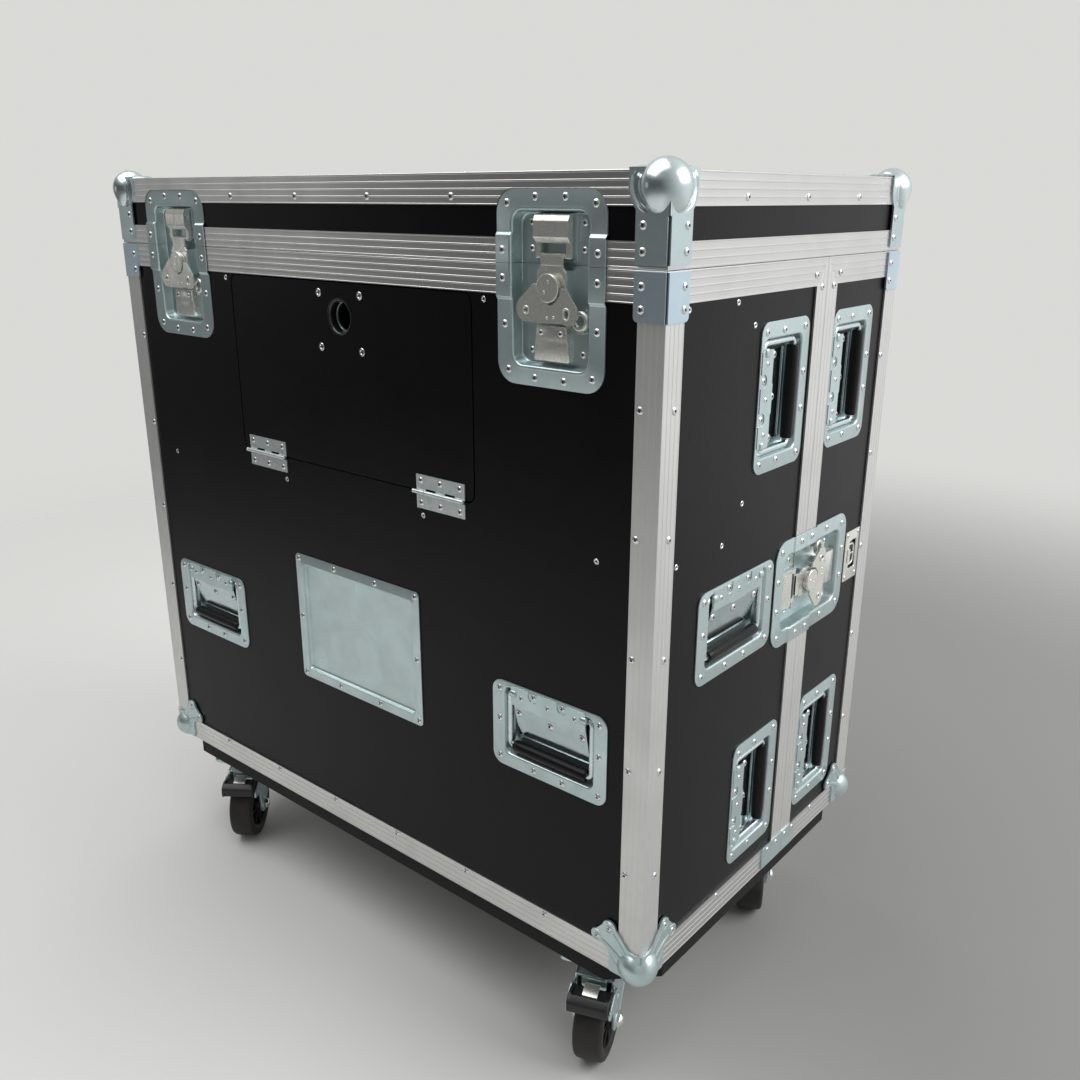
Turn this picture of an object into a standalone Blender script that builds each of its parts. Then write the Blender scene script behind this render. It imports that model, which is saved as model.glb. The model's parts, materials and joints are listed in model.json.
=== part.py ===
# Flight case on castors: black laminated panels held by aluminium extrusions, with a lift-off
# lid, a pull-off rear cover, a drop-down hatch, recessed butterfly latches and sprung handles.
# Metres, +Z up, front towards -Y. The origin is on the floor under the middle of the case.
# Each fitting is drawn in a frame of its own: X to the right, Y up and Z out of the case's side,
# with Z = 0 on the outer plane of the extrusions.

import math

import bmesh
import bpy
from mathutils import Matrix, Vector

# Case
CASE_WIDTH = 0.890
CASE_DEPTH = 0.508
CASE_HEIGHT = 0.834
LID_HEIGHT = 0.083
COVER_DEPTH = 0.192
PANEL_THICKNESS = 0.009
GAP = 0.0003
OVERCUT = 0.010

# Aluminium extrusions
EXTRUSION_WALL = 0.002
LID_ANGLE_FACE = 0.0304
LID_RIM_FACE = 0.0236
BODY_RIM_FACE = 0.0295
POST_FACE = 0.030
BOTTOM_FACE = 0.032
SEAM_FACE = 0.025
WEB_DEPTH = 0.020

# Zinc corner hardware
SHEET = 0.0015
BRACE_PROUD = 0.0018
BRACE_SINK = 0.001
BRACE_WIDTH = 0.034
BODY_BRACE_HEIGHT = 0.044
LID_BRACE_END = 0.004
TOP_BALL_RADIUS = 0.024
TOP_BALL_INSET = 0.013
BOTTOM_BALL_RADIUS = 0.0225
BOTTOM_BALL_INSET = 0.0115
BOTTOM_BALL_RISE = 0.0155
EAR_SPREAD = 0.058
EAR_RISE = 0.057
EAR_LOBE = 0.008
EAR_EDGE = 0.0012
EAR_NECK = 0.019
EAR_STEP = 0.014
EAR_SADDLE = 0.022
BRACE_DROP = 0.001
SEAM_BRACE_FRONT = 0.050
SEAM_BRACE_BACK = 0.035
SEAM_BRACE_HEIGHT = 0.030
SEAM_BRACE_RISE = 0.0026

# Butterfly latches
LATCH_WIDTH = 0.132
LATCH_KEEPER_LENGTH = 0.068
LATCH_WING_LENGTH = 0.1155
LATCH_FLANGE = 0.0195
LATCH_RECESS = 0.014
LATCH_CORNER = 0.022
LATCH_RECESS_CORNER = 0.012
LATCH_INSET = 0.1313
SIDE_LATCH_HEIGHT = 0.374
JOGGLE_SLOPE = 0.004
JOGGLE_MARGIN = 0.0015
STRAP_WIDTH = 0.042
BAR_LEVEL = -0.0056
BAR_START = 0.0045
STRAP_SLOPE = 0.004
STRAP_FOOT = 0.003
STRAP_BULGE = -0.001
WINDOW_WIDTH = 0.031
WINDOW_LOW = 0.0105
WINDOW_HIGH = 0.0195
CAM_DROP = 0.021
CAM_RADIUS = 0.014
CAM_SHAFT_RADIUS = 0.005
CAM_DISC_RISE = 0.0012
CAM_SHAFT_DEPTH = 0.0042
WING_LOBE = 0.0115
WING_LEFT_LOBE = (-0.0275, -0.0205)
WING_RIGHT_LOBE = (0.0245, -0.0215)
WING_LEFT_SHOULDER = (-0.015, 0.0035)
WING_RIGHT_SHOULDER = (0.0225, 0.0005)
WING_LEVEL = 0.0008
WING_SHEET = 0.002
HOOK_WIDTH = 0.036
HOOK_BACK = 0.016
HOOK_SHOULDER = 0.004
TONGUE_WIDTH = 0.027
TONGUE_TOP = 0.0095
HOOK_TRAVEL = 0.006
HOOK_LEVEL = -0.0052
HOOK_SHEET = 0.002
COVER_PLATE_WIDTH = 0.042
COVER_PLATE_TOP = 0.056
COVER_PLATE_LENGTH = 0.034
COVER_PLATE_LEVEL = -0.0025
COVER_PLATE_TAPER = 0.003
EYE_RADIUS = 0.0095
EYE_WIRE = 0.0022
EYE_ACROSS = 0.033
EYE_DROP = 0.050
EYE_LEVEL = -0.006
EYE_FOOT = 0.008

# Sprung handles
HANDLE_WIDTH = 0.159
HANDLE_HEIGHT = 0.105
HANDLE_SIDE_FLANGE = 0.0175
HANDLE_LOW_FLANGE = 0.0165
HANDLE_TOP_FLANGE = 0.0065
HANDLE_RECESS = 0.0145
HANDLE_CORNER = 0.014
HANDLE_RECESS_CORNER = 0.008
HANDLE_DRAFT = 0.003
HANDLE_POCKET = 0.030
HINGE_PLATE_HEIGHT = 0.025
HINGE_PLATE_SHEET = 0.0018
HINGE_PLATE_MARGIN = 0.002
BUMP_LENGTH = 0.0075
BUMP_HALF = 0.005
BUMP_RISE = 0.0035
BAIL_WIRE = 0.0035
BAIL_SIDE_MARGIN = 0.0015
BAIL_LOW_MARGIN = 0.003
BAIL_PIVOT_DROP = 0.0125
BAIL_BEND = 0.006
BAIL_INWARD = 0.012
GRIP_RADIUS = 0.007
GRIP_END_GAP = 0.006
FRONT_HANDLE_HEIGHT = 0.252
UPPER_HANDLE_MARGIN = 0.0292
LOWER_HANDLE_MARGIN = 0.021
MIDDLE_HANDLE_HEIGHT = 0.3755
MIDDLE_HANDLE_MARGIN = 0.0065
SIDE_HANDLE_MARGIN = 0.008
COVER_HANDLE_MARGIN = 0.0025

# Hatch in the front panel, with its label dish below
FRONT_OFFSET = 0.004
HATCH_WIDTH = 0.414
HATCH_BOTTOM = 0.498
HATCH_TOP_MARGIN = 0.002
HATCH_CORNER = 0.012
HATCH_CLEARANCE = 0.0015
HINGE_SPACING = 0.311
HINGE_WIDTH = 0.0745
HINGE_LEAF = 0.0195
HINGE_RISE = 0.0015
KNUCKLE_RADIUS = 0.0033
KNUCKLES = 5
KNUCKLE_TONGUE = 0.002
PULL_RADIUS = 0.0205
PULL_DROP = 0.038
BOLT_RADIUS = 0.016
BOLT_PLATE = 0.060
BOLT_WIDTH = 0.018
BOLT_SHEET = 0.003
BOLT_TRAVEL = 0.008
BOLT_LOW = 0.030
BOLT_SHOULDER = 0.020
RAIL_WIDTH = 0.005
RAIL_LIP = 0.004
RAIL_SHEET = 0.002
LABEL_WIDTH = 0.229
LABEL_HEIGHT = 0.174
LABEL_FLANGE = 0.013
LABEL_RECESS = 0.0045
LABEL_CORNER = 0.006
LABEL_RECESS_CORNER = 0.004
LABEL_RISE = 0.287

# Castor board and castors
BOARD_THICKNESS = 0.022
BOARD_INSET = 0.004
BOARD_CORNER = 0.047
CASTOR_HEIGHT = 0.135
CASTOR_INSET = 0.092
CASTOR_FRONT = 0.066
CASTOR_BACK = 0.084
CASTOR_PLATE_WIDTH = 0.085
CASTOR_PLATE_LENGTH = 0.105
CASTOR_PLATE_THICKNESS = 0.003
CASTOR_TRAIL = 0.035
WHEEL_RADIUS = 0.050
WHEEL_WIDTH = 0.036
AXLE_RADIUS = 0.005
NUT_RADIUS = 0.009
NUT_THICKNESS = 0.005
FORK_SHEET = 0.003
FORK_CLEARANCE = 0.0025
SWIVEL_RADIUS = 0.027
SWIVEL_HEIGHT = 0.014
CROWN_FRONT = 0.052
CROWN_BACK = 0.024
LEG_END = 0.013
LEG_NECK = 0.034
LEG_BACK = 0.004
HUB_RADIUS = 0.012
WHEEL_DISH = 0.006
PEDAL_SHEET = 0.0025
PEDAL_REACH = 0.040
PEDAL_PIVOT = (0, -0.046, 0.094)
PEDAL_CLEAR = 0.006
PEDAL_RISE = 0.016
CASTOR_YAW = {
    "front_left": 37.5,
    "front_right": 21.0,
    "back_left": 28.0,
    "back_right": 28.0,
}

# Worked out from the sizes above
HALF_WIDTH = CASE_WIDTH / 2
HALF_DEPTH = CASE_DEPTH / 2
CASE_BOTTOM = CASTOR_HEIGHT + BOARD_THICKNESS + 2 * GAP
CASE_TOP = CASE_BOTTOM + CASE_HEIGHT
LID_BOTTOM = CASE_TOP - LID_HEIGHT
BODY_TOP = LID_BOTTOM - GAP
SPLIT = (LID_BOTTOM + BODY_TOP) / 2
SEAM = HALF_DEPTH - COVER_DEPTH
COVER_FRONT = SEAM + GAP
SEAM_MIDDLE = SEAM + GAP / 2
PANEL_INSET = EXTRUSION_WALL + GAP
PANEL_BACK = PANEL_INSET + PANEL_THICKNESS
FLANGE_FRONT = -PANEL_INSET + GAP + SHEET
FLANGE_SUNK = -PANEL_INSET - GAP
BAIL_ARM_SPACING = HANDLE_WIDTH - 2 * (HANDLE_SIDE_FLANGE + BAIL_WIRE + BAIL_SIDE_MARGIN)
BAIL_LENGTH = HANDLE_HEIGHT - BAIL_PIVOT_DROP - HANDLE_LOW_FLANGE - GRIP_RADIUS - BAIL_LOW_MARGIN
FACE_YAW = {"front": 0.0, "right": 90.0, "back": 180.0, "left": 270.0}
SIDES = {"left": -1, "right": 1}


# Mesh helpers

def mesh_of(bm):
    bmesh.ops.recalc_face_normals(bm, faces=bm.faces)
    mesh = bpy.data.meshes.new("shape")
    bm.to_mesh(mesh)
    bm.free()
    return mesh


def box(low, high):
    low, high = Vector(low), Vector(high)
    size = high - low
    bm = bmesh.new()
    place = Matrix.Translation((low + high) / 2) @ Matrix.Diagonal((*size, 1.0))
    bmesh.ops.create_cube(bm, size=1.0, matrix=place)
    return mesh_of(bm)


def cylinder(radius, start, end, sides=16):
    start, end = Vector(start), Vector(end)
    along = end - start
    turn = along.to_track_quat("Z", "Y").to_matrix().to_4x4()
    bm = bmesh.new()
    bmesh.ops.create_cone(
        bm, cap_ends=True, segments=sides, radius1=radius, radius2=radius,
        depth=along.length, matrix=Matrix.Translation((start + end) / 2) @ turn,
    )
    return mesh_of(bm)


def sphere(radius, centre, sides=16):
    bm = bmesh.new()
    bmesh.ops.create_uvsphere(
        bm, u_segments=sides, v_segments=sides * 5 // 8, radius=radius,
        matrix=Matrix.Translation(centre),
    )
    return mesh_of(bm)


def loft(rings):
    """A closed skin through rings of equally many points, capped at both ends."""
    bm = bmesh.new()
    rows = [[bm.verts.new(point) for point in ring] for ring in rings]
    count = len(rows[0])
    for row, following in zip(rows, rows[1:]):
        for i in range(count):
            j = (i + 1) % count
            bm.faces.new((row[i], row[j], following[j], following[i]))
    bm.faces.new(rows[0])
    bm.faces.new(list(reversed(rows[-1])))
    return mesh_of(bm)


def prism(outline, start, end, axis="Z"):
    """The outline, drawn across the axis, carried from start to end along it."""
    place = {
        "X": lambda a, b, level: (level, a, b),
        "Y": lambda a, b, level: (a, level, b),
        "Z": lambda a, b, level: (a, b, level),
    }[axis]
    return loft([[place(a, b, level) for a, b in outline] for level in (start, end)])


def turned(profile, sides):
    """A solid of revolution about X; the profile is a closed list of (along X, radius)."""
    bm = bmesh.new()
    verts = [bm.verts.new((along, radius, 0.0)) for along, radius in profile]
    edges = [bm.edges.new((a, b)) for a, b in zip(verts, verts[1:] + verts[:1])]
    bmesh.ops.spin(
        bm, geom=verts + edges, axis=(1, 0, 0), cent=(0, 0, 0), angle=math.tau,
        steps=sides, use_duplicate=False, use_merge=True,
    )
    bmesh.ops.remove_doubles(bm, verts=bm.verts, dist=1e-6)
    return mesh_of(bm)


def tube(path, radii, sides):
    """A round bar along the path, with a radius at each of its points."""
    points = [Vector(point) for point in path]
    rings = []
    side = None
    for i, (point, radius) in enumerate(zip(points, radii)):
        before = points[i] - points[i - 1] if i else points[1] - points[0]
        after = points[i + 1] - points[i] if i + 1 < len(points) else before
        if before.length < 1e-7:
            before = points[i - 1] - points[i - 2]
        if after.length < 1e-7:
            after = points[i + 2] - points[i + 1]
        along = (before.normalized() + after.normalized()).normalized()
        if side is None:
            side = along.orthogonal()
        side = (side - side.dot(along) * along).normalized()
        other = along.cross(side)
        ring = []
        for step in range(sides):
            angle = math.tau * step / sides
            ring.append(point + radius * (math.cos(angle) * side + math.sin(angle) * other))
        rings.append(ring)
    return loft(rings)


def placed(mesh, matrix):
    copy = mesh.copy()
    copy.transform(matrix)
    return copy


def together(meshes):
    """One mesh holding several that don't touch."""
    bm = bmesh.new()
    for mesh in meshes:
        bm.from_mesh(mesh)
    return mesh_of(bm)


def halved(mesh, level, keep):
    """The part of a mesh on one side of the plane Y = level, with the cut closed."""
    bm = bmesh.new()
    bm.from_mesh(mesh)
    cut = bmesh.ops.bisect_plane(
        bm, geom=bm.verts[:] + bm.edges[:] + bm.faces[:], plane_co=(0, level, 0),
        plane_no=(0, keep, 0), clear_inner=True,
    )
    edges = [item for item in cut["geom_cut"] if isinstance(item, bmesh.types.BMEdge)]
    bmesh.ops.edgeloop_fill(bm, edges=edges)
    return mesh_of(bm)


def combined(base, joins=(), cuts=()):
    """The base with the joins added and then the cuts taken away, as a new mesh."""
    helpers = []
    target = bpy.data.objects.new("target", base)
    bpy.context.scene.collection.objects.link(target)
    for operation, meshes in (("UNION", joins), ("DIFFERENCE", cuts)):
        for mesh in meshes:
            helper = bpy.data.objects.new("helper", mesh)
            bpy.context.scene.collection.objects.link(helper)
            helpers.append(helper)
            modifier = target.modifiers.new("shape", "BOOLEAN")
            modifier.operation = operation
            modifier.object = helper
    graph = bpy.context.evaluated_depsgraph_get()
    result = bpy.data.meshes.new_from_object(target.evaluated_get(graph))
    for item in [target, *helpers]:
        bpy.data.objects.remove(item)
    return result


# Outlines

def rounded(low, high, radius, steps=3, stations=()):
    """A rounded rectangle, anticlockwise, with further points at stations up each side."""
    low_x, low_y = low
    high_x, high_y = high
    corners = (
        (high_x - radius, low_y + radius, -90),
        (high_x - radius, high_y - radius, 0),
        (low_x + radius, high_y - radius, 90),
        (low_x + radius, low_y + radius, 180),
    )
    points = []
    for corner, (x, y, first) in enumerate(corners):
        for step in range(steps):
            angle = math.radians(first + 90 * step / (steps - 1))
            points.append((x + radius * math.cos(angle), y + radius * math.sin(angle)))
        if corner == 0:
            points += [(high_x, station) for station in stations]
        if corner == 2:
            points += [(low_x, station) for station in reversed(stations)]
    return points


def arc(centre, radius, start, end, steps):
    points = []
    for step in range(steps + 1):
        angle = math.radians(start + (end - start) * step / steps)
        points.append((centre[0] + radius * math.cos(angle), centre[1] + radius * math.sin(angle)))
    return points


def grown(low, high, amount):
    return (low[0] - amount, low[1] - amount), (high[0] + amount, high[1] + amount)


# Scene helpers

def material(name, color, roughness, metallic):
    made = bpy.data.materials.new(name)
    made.use_nodes = True
    shader = made.node_tree.nodes["Principled BSDF"]
    shader.inputs["Base Color"].default_value = (*color, 1.0)
    shader.inputs["Roughness"].default_value = roughness
    shader.inputs["Metallic"].default_value = metallic
    return made


FINISHES = {
    "laminate": ((0.012, 0.012, 0.014), 0.55, 0.0),
    "aluminium": ((0.78, 0.78, 0.78), 0.32, 1.0),
    "zinc": ((0.60, 0.66, 0.68), 0.30, 1.0),
    "nickel": ((0.66, 0.65, 0.60), 0.25, 1.0),
    "grip": ((0.02, 0.02, 0.02), 0.5, 0.0),
    "board": ((0.015, 0.015, 0.015), 0.6, 0.0),
    "tyre": ((0.02, 0.02, 0.02), 0.6, 0.0),
    "pedal": ((0.02, 0.02, 0.022), 0.45, 0.0),
}


def piece(name, mesh, finish, matrix=None, parent=None):
    mesh.materials.clear()
    mesh.materials.append(material(name, *FINISHES[finish]))
    obj = bpy.data.objects.new(name, mesh)
    bpy.context.scene.collection.objects.link(obj)
    mesh.shade_smooth()
    mesh.set_sharp_from_angle(angle=math.radians(35))
    obj.matrix_world = matrix or Matrix.Identity(4)
    if parent:
        obj.parent = parent
        obj.matrix_parent_inverse = parent.matrix_world.inverted()
    return obj


def on_face(face, across, up, turn=0.0):
    """The frame of a fitting on a side of the case, as that side is looked at."""
    plane = HALF_DEPTH if face in ("front", "back") else HALF_WIDTH
    return (
        Matrix.Rotation(math.radians(FACE_YAW[face]), 4, "Z")
        @ Matrix.Translation((across, -plane, up))
        @ Matrix.Rotation(math.radians(90), 4, "X")
        @ Matrix.Rotation(math.radians(turn), 4, "Z")
    )


# Where the fittings are

def lid_latch_places():
    places = {}
    across = HALF_WIDTH - LATCH_INSET
    for face in ("front", "back"):
        for side, sign in SIDES.items():
            # Seen from behind, the case's left side is on the right.
            seen = sign if face == "front" else -sign
            places[f"{face}_{side}"] = on_face(face, seen * across, SPLIT)
    return places


def side_latch_places():
    height = CASE_BOTTOM + SIDE_LATCH_HEIGHT
    return {
        "left": on_face("left", -SEAM_MIDDLE, height, -90),
        "right": on_face("right", SEAM_MIDDLE, height, 90),
    }


def front_handle_places():
    across = HALF_WIDTH - LATCH_INSET
    height = CASE_BOTTOM + FRONT_HANDLE_HEIGHT
    return {f"front_{side}": on_face("front", sign * across, height) for side, sign in SIDES.items()}


def upright_handle_heights():
    half = HANDLE_WIDTH / 2
    return {
        "upper": BODY_TOP - BODY_RIM_FACE - UPPER_HANDLE_MARGIN - half,
        "lower": CASE_BOTTOM + BOTTOM_FACE + LOWER_HANDLE_MARGIN + half,
    }


def side_handle_places(side):
    sign = SIDES[side]
    places = {}
    column = sign * (SEAM - SEAM_FACE - SIDE_HANDLE_MARGIN - HANDLE_HEIGHT / 2)
    for level, height in upright_handle_heights().items():
        places[f"{side}_{level}"] = on_face(side, column, height, 90 * sign)
    middle = sign * (SEAM - LATCH_KEEPER_LENGTH - MIDDLE_HANDLE_MARGIN - HANDLE_WIDTH / 2)
    places[f"{side}_middle"] = on_face(side, middle, CASE_BOTTOM + MIDDLE_HANDLE_HEIGHT)
    return places


def cover_handle_places():
    places = {}
    for side, sign in SIDES.items():
        column = sign * (SEAM + SEAM_FACE + COVER_HANDLE_MARGIN + HANDLE_HEIGHT / 2)
        for level, height in upright_handle_heights().items():
            places[f"cover_{side}_{level}"] = on_face(side, column, height, 90 * sign)
    return places


# Latch

def latch_recess():
    half = LATCH_WIDTH / 2 - LATCH_FLANGE
    return (-half, -LATCH_WING_LENGTH + LATCH_FLANGE), (half, LATCH_KEEPER_LENGTH - LATCH_FLANGE)


def joggle(height, keeper_face, wing_face):
    """How far down the flange has come: 0 proud over the rims, 1 back on the panels."""
    top = keeper_face + JOGGLE_MARGIN
    bottom = -wing_face - JOGGLE_MARGIN
    beyond = max(height - top, bottom - height, 0.0)
    return min(beyond / JOGGLE_SLOPE, 1.0)


def latch_dish(keeper_face, wing_face, sunk=0.0):
    """The whole dish as one sheet of metal, before it is parted at the split."""
    top = keeper_face + JOGGLE_MARGIN
    bottom = -wing_face - JOGGLE_MARGIN
    stations = (bottom - JOGGLE_SLOPE, bottom, top, top + JOGGLE_SLOPE)
    flange_low = (-LATCH_WIDTH / 2, -LATCH_WING_LENGTH)
    flange_high = (LATCH_WIDTH / 2, LATCH_KEEPER_LENGTH)
    low, high = latch_recess()
    corner = LATCH_RECESS_CORNER
    flange = rounded(flange_low, flange_high, LATCH_CORNER, 3, stations)
    opening = rounded(low, high, corner, 3, stations)
    floor = rounded(*grown(low, high, -SHEET), corner - SHEET, 3, stations)
    wall = rounded(*grown(low, high, SHEET), corner + SHEET, 3, stations)

    def level(points, proud, low):
        levels = [joggle(y, keeper_face, wing_face) for _, y in points]
        return [(x, y, proud + (low - proud) * down) for (x, y), down in zip(points, levels)]

    def front(points):
        return level(points, GAP + SHEET, FLANGE_FRONT)

    def back(points):
        return level(points, GAP, FLANGE_FRONT - SHEET - sunk)

    return loft([
        [(x, y, -LATCH_RECESS) for x, y in floor],
        front(opening),
        front(flange),
        back(flange),
        back(wall),
        [(x, y, -LATCH_RECESS - SHEET) for x, y in opening],
    ])


def keeper_half(keeper_face, wing_face, sunk=0.0):
    """The dish's keeper end, with the bulged strap whose bar the hook pulls on."""
    dish = halved(latch_dish(keeper_face, wing_face, sunk), GAP / 2, 1)
    crown = latch_recess()[1][1]
    floor = -LATCH_RECESS - SHEET / 2
    bulge = WINDOW_HIGH + STRAP_SLOPE
    foot = crown - STRAP_FOOT
    outline = [
        (BAR_START, BAR_LEVEL - SHEET),
        (BAR_START, BAR_LEVEL),
        (WINDOW_HIGH, BAR_LEVEL),
        (bulge, STRAP_BULGE - SHEET),
        (foot - STRAP_SLOPE - SHEET, STRAP_BULGE),
        (foot, STRAP_BULGE - STRAP_FOOT),
        (foot + SHEET / 2, floor),
        (foot - SHEET, floor),
        (foot - 2 * SHEET, STRAP_BULGE - STRAP_FOOT - SHEET),
        (foot - STRAP_SLOPE - 2 * SHEET, STRAP_BULGE - SHEET),
        (bulge + SHEET, STRAP_BULGE - 2 * SHEET),
        (WINDOW_HIGH + SHEET / 2, BAR_LEVEL - SHEET),
    ]
    half = STRAP_WIDTH / 2
    strap = prism(outline, -half, half, "X")
    window = box(
        (-WINDOW_WIDTH / 2, WINDOW_LOW, BAR_LEVEL - 2 * SHEET),
        (WINDOW_WIDTH / 2, WINDOW_HIGH, BAR_LEVEL + SHEET),
    )
    return combined(dish, [strap], [window])


def padlock_eye():
    """A ring of wire that stands on a foot on the recess floor."""
    centre = Vector((EYE_ACROSS, -EYE_DROP, EYE_LEVEL))
    reach = EYE_RADIUS - EYE_WIRE
    bm = bmesh.new()
    circle = bmesh.ops.create_circle(
        bm, segments=5, radius=EYE_WIRE,
        matrix=Matrix.Translation(centre + Vector((reach, 0, 0))) @ Matrix.Rotation(math.radians(90), 4, "X"),
    )
    verts = circle["verts"]
    edges = list({edge for vert in verts for edge in vert.link_edges})
    bmesh.ops.spin(bm, geom=verts + edges, cent=centre, axis=(0, 0, 1), angle=math.tau, steps=10,
                   use_merge=True)
    bmesh.ops.remove_doubles(bm, verts=bm.verts, dist=1e-6)
    ring = mesh_of(bm)
    foot = box(
        (EYE_ACROSS - EYE_FOOT / 2, -EYE_DROP - EYE_RADIUS, -LATCH_RECESS - SHEET / 2),
        (EYE_ACROSS + EYE_FOOT / 2, -EYE_DROP - reach + EYE_WIRE / 3, EYE_LEVEL),
    )
    return combined(ring, [foot])


def cover_plate():
    """The tapered channel over the latch's works."""
    floor = -LATCH_RECESS - SHEET / 2
    half = COVER_PLATE_WIDTH / 2
    low = -COVER_PLATE_TOP - COVER_PLATE_LENGTH
    rings = []
    for height, taper in ((-COVER_PLATE_TOP, COVER_PLATE_TAPER), (low, 0.0)):
        edge = half - taper
        section = (
            (-edge, floor), (-edge + SHEET, floor), (-edge + SHEET, COVER_PLATE_LEVEL - SHEET),
            (edge - SHEET, COVER_PLATE_LEVEL - SHEET), (edge - SHEET, floor), (edge, floor),
            (edge, COVER_PLATE_LEVEL), (-edge, COVER_PLATE_LEVEL),
        )
        rings.append([(x, height, z) for x, z in section])
    return loft(rings)


def wing_half(keeper_face, wing_face, sunk=0.0):
    """The dish's wing end, with the hook's bed, the cover plate and the padlock eye."""
    dish = halved(latch_dish(keeper_face, wing_face, sunk), -GAP / 2, -1)
    bed_half = HOOK_WIDTH / 2
    floor = -LATCH_RECESS - SHEET / 2
    bed = box((-bed_half, -CAM_DROP - HOOK_BACK, floor), (bed_half, -HOOK_SHOULDER, HOOK_LEVEL - GAP))
    shaft_end = HOOK_LEVEL - CAM_SHAFT_DEPTH - 2 * GAP
    shaft_hole = cylinder(CAM_SHAFT_RADIUS + GAP, (0, -CAM_DROP, shaft_end), (0, -CAM_DROP, 0), 10)
    return combined(dish, [bed, cover_plate(), padlock_eye()], [shaft_hole])


def latch_wing():
    """The butterfly wing with its cam disc and shaft. Its origin is on the shaft's axis."""
    back = WING_LEVEL
    front = back + WING_SHEET
    outline = arc(WING_LEFT_LOBE, WING_LOBE, 120, 270, 5) + arc(WING_RIGHT_LOBE, WING_LOBE, 270, 400, 5)
    outline += [WING_RIGHT_SHOULDER, WING_LEFT_SHOULDER]
    plate = prism(outline, back, front)
    disc = cylinder(CAM_RADIUS, (0, 0, back), (0, 0, front + CAM_DISC_RISE), 14)
    shaft_ends = (HOOK_LEVEL - CAM_SHAFT_DEPTH, back + WING_SHEET / 2)
    shaft = cylinder(CAM_SHAFT_RADIUS, (0, 0, shaft_ends[0]), (0, 0, shaft_ends[1]), 10)
    return combined(plate, [disc, shaft])


def latch_hook():
    """The hook, slotted round the cam's shaft, with its tongue in front of the keeper's bar."""
    half = HOOK_WIDTH / 2
    tongue = TONGUE_WIDTH / 2
    low = -HOOK_BACK
    shoulder = CAM_DROP - HOOK_SHEET
    side = shoulder - HOOK_SHOULDER
    top = CAM_DROP + TONGUE_TOP
    outline = [(-half, low), (half, low), (half, side), (tongue, shoulder), (tongue, top)]
    outline += [(-tongue, top), (-tongue, shoulder), (-half, side)]
    body = prism(outline, HOOK_LEVEL, HOOK_LEVEL + HOOK_SHEET)
    radius = CAM_SHAFT_RADIUS + GAP
    slot_outline = arc((0, 0), radius, 0, 180, 5) + arc((0, -HOOK_TRAVEL), radius, 180, 360, 5)
    slot = prism(slot_outline, HOOK_LEVEL - SHEET, HOOK_LEVEL + HOOK_SHEET + SHEET)
    return combined(body, cuts=[slot])


# Handle

def handle_recess():
    half = HANDLE_WIDTH / 2 - HANDLE_SIDE_FLANGE
    return (-half, -HANDLE_HEIGHT / 2 + HANDLE_LOW_FLANGE), (half, HANDLE_HEIGHT / 2 - HANDLE_TOP_FLANGE)


def bail_axis():
    """Height and depth of a bail's hinge line in its handle's frame."""
    depth = FLANGE_FRONT - SHEET - BAIL_WIRE - GAP
    return HANDLE_HEIGHT / 2 - BAIL_PIVOT_DROP, depth


def handle_dish():
    """The dish, sunk into the panel's face, with the plate that the bail is hinged under."""
    low, high = handle_recess()
    half = Vector((HANDLE_WIDTH / 2, HANDLE_HEIGHT / 2))
    flange = rounded(-half, half, HANDLE_CORNER)
    opening = rounded(low, high, HANDLE_RECESS_CORNER)
    floor = rounded(*grown(low, high, -HANDLE_DRAFT), HANDLE_RECESS_CORNER - HANDLE_DRAFT / 2)
    wall = rounded(*grown(low, high, SHEET), HANDLE_RECESS_CORNER + SHEET)
    dish = loft([
        [(x, y, -HANDLE_RECESS) for x, y in floor],
        [(x, y, FLANGE_FRONT) for x, y in opening],
        [(x, y, FLANGE_FRONT) for x, y in flange],
        [(x, y, FLANGE_SUNK) for x, y in flange],
        [(x, y, FLANGE_SUNK) for x, y in wall],
        [(x, y, -HANDLE_RECESS - SHEET) for x, y in floor],
    ])
    arm = BAIL_ARM_SPACING / 2 - BAIL_WIRE - HINGE_PLATE_MARGIN
    plate_top = HANDLE_HEIGHT / 2 - HINGE_PLATE_MARGIN
    plate = box(
        (-arm, HANDLE_HEIGHT / 2 - HINGE_PLATE_HEIGHT, FLANGE_FRONT - SHEET),
        (arm, plate_top, FLANGE_FRONT - SHEET + HINGE_PLATE_SHEET + GAP),
    )
    height = bail_axis()[0]
    low = FLANGE_FRONT - SHEET / 2
    top = low + BUMP_RISE
    crest = BUMP_HALF - HINGE_PLATE_MARGIN
    outline = [(height - BUMP_HALF, low), (height + BUMP_HALF, low)]
    outline += [(height + crest, top), (height - crest, top)]
    end = arm - GAP
    bumps = [prism(outline, sign * end, sign * (end - BUMP_LENGTH), "X") for sign in (-1, 1)]
    return combined(dish, [plate, *bumps])


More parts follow.
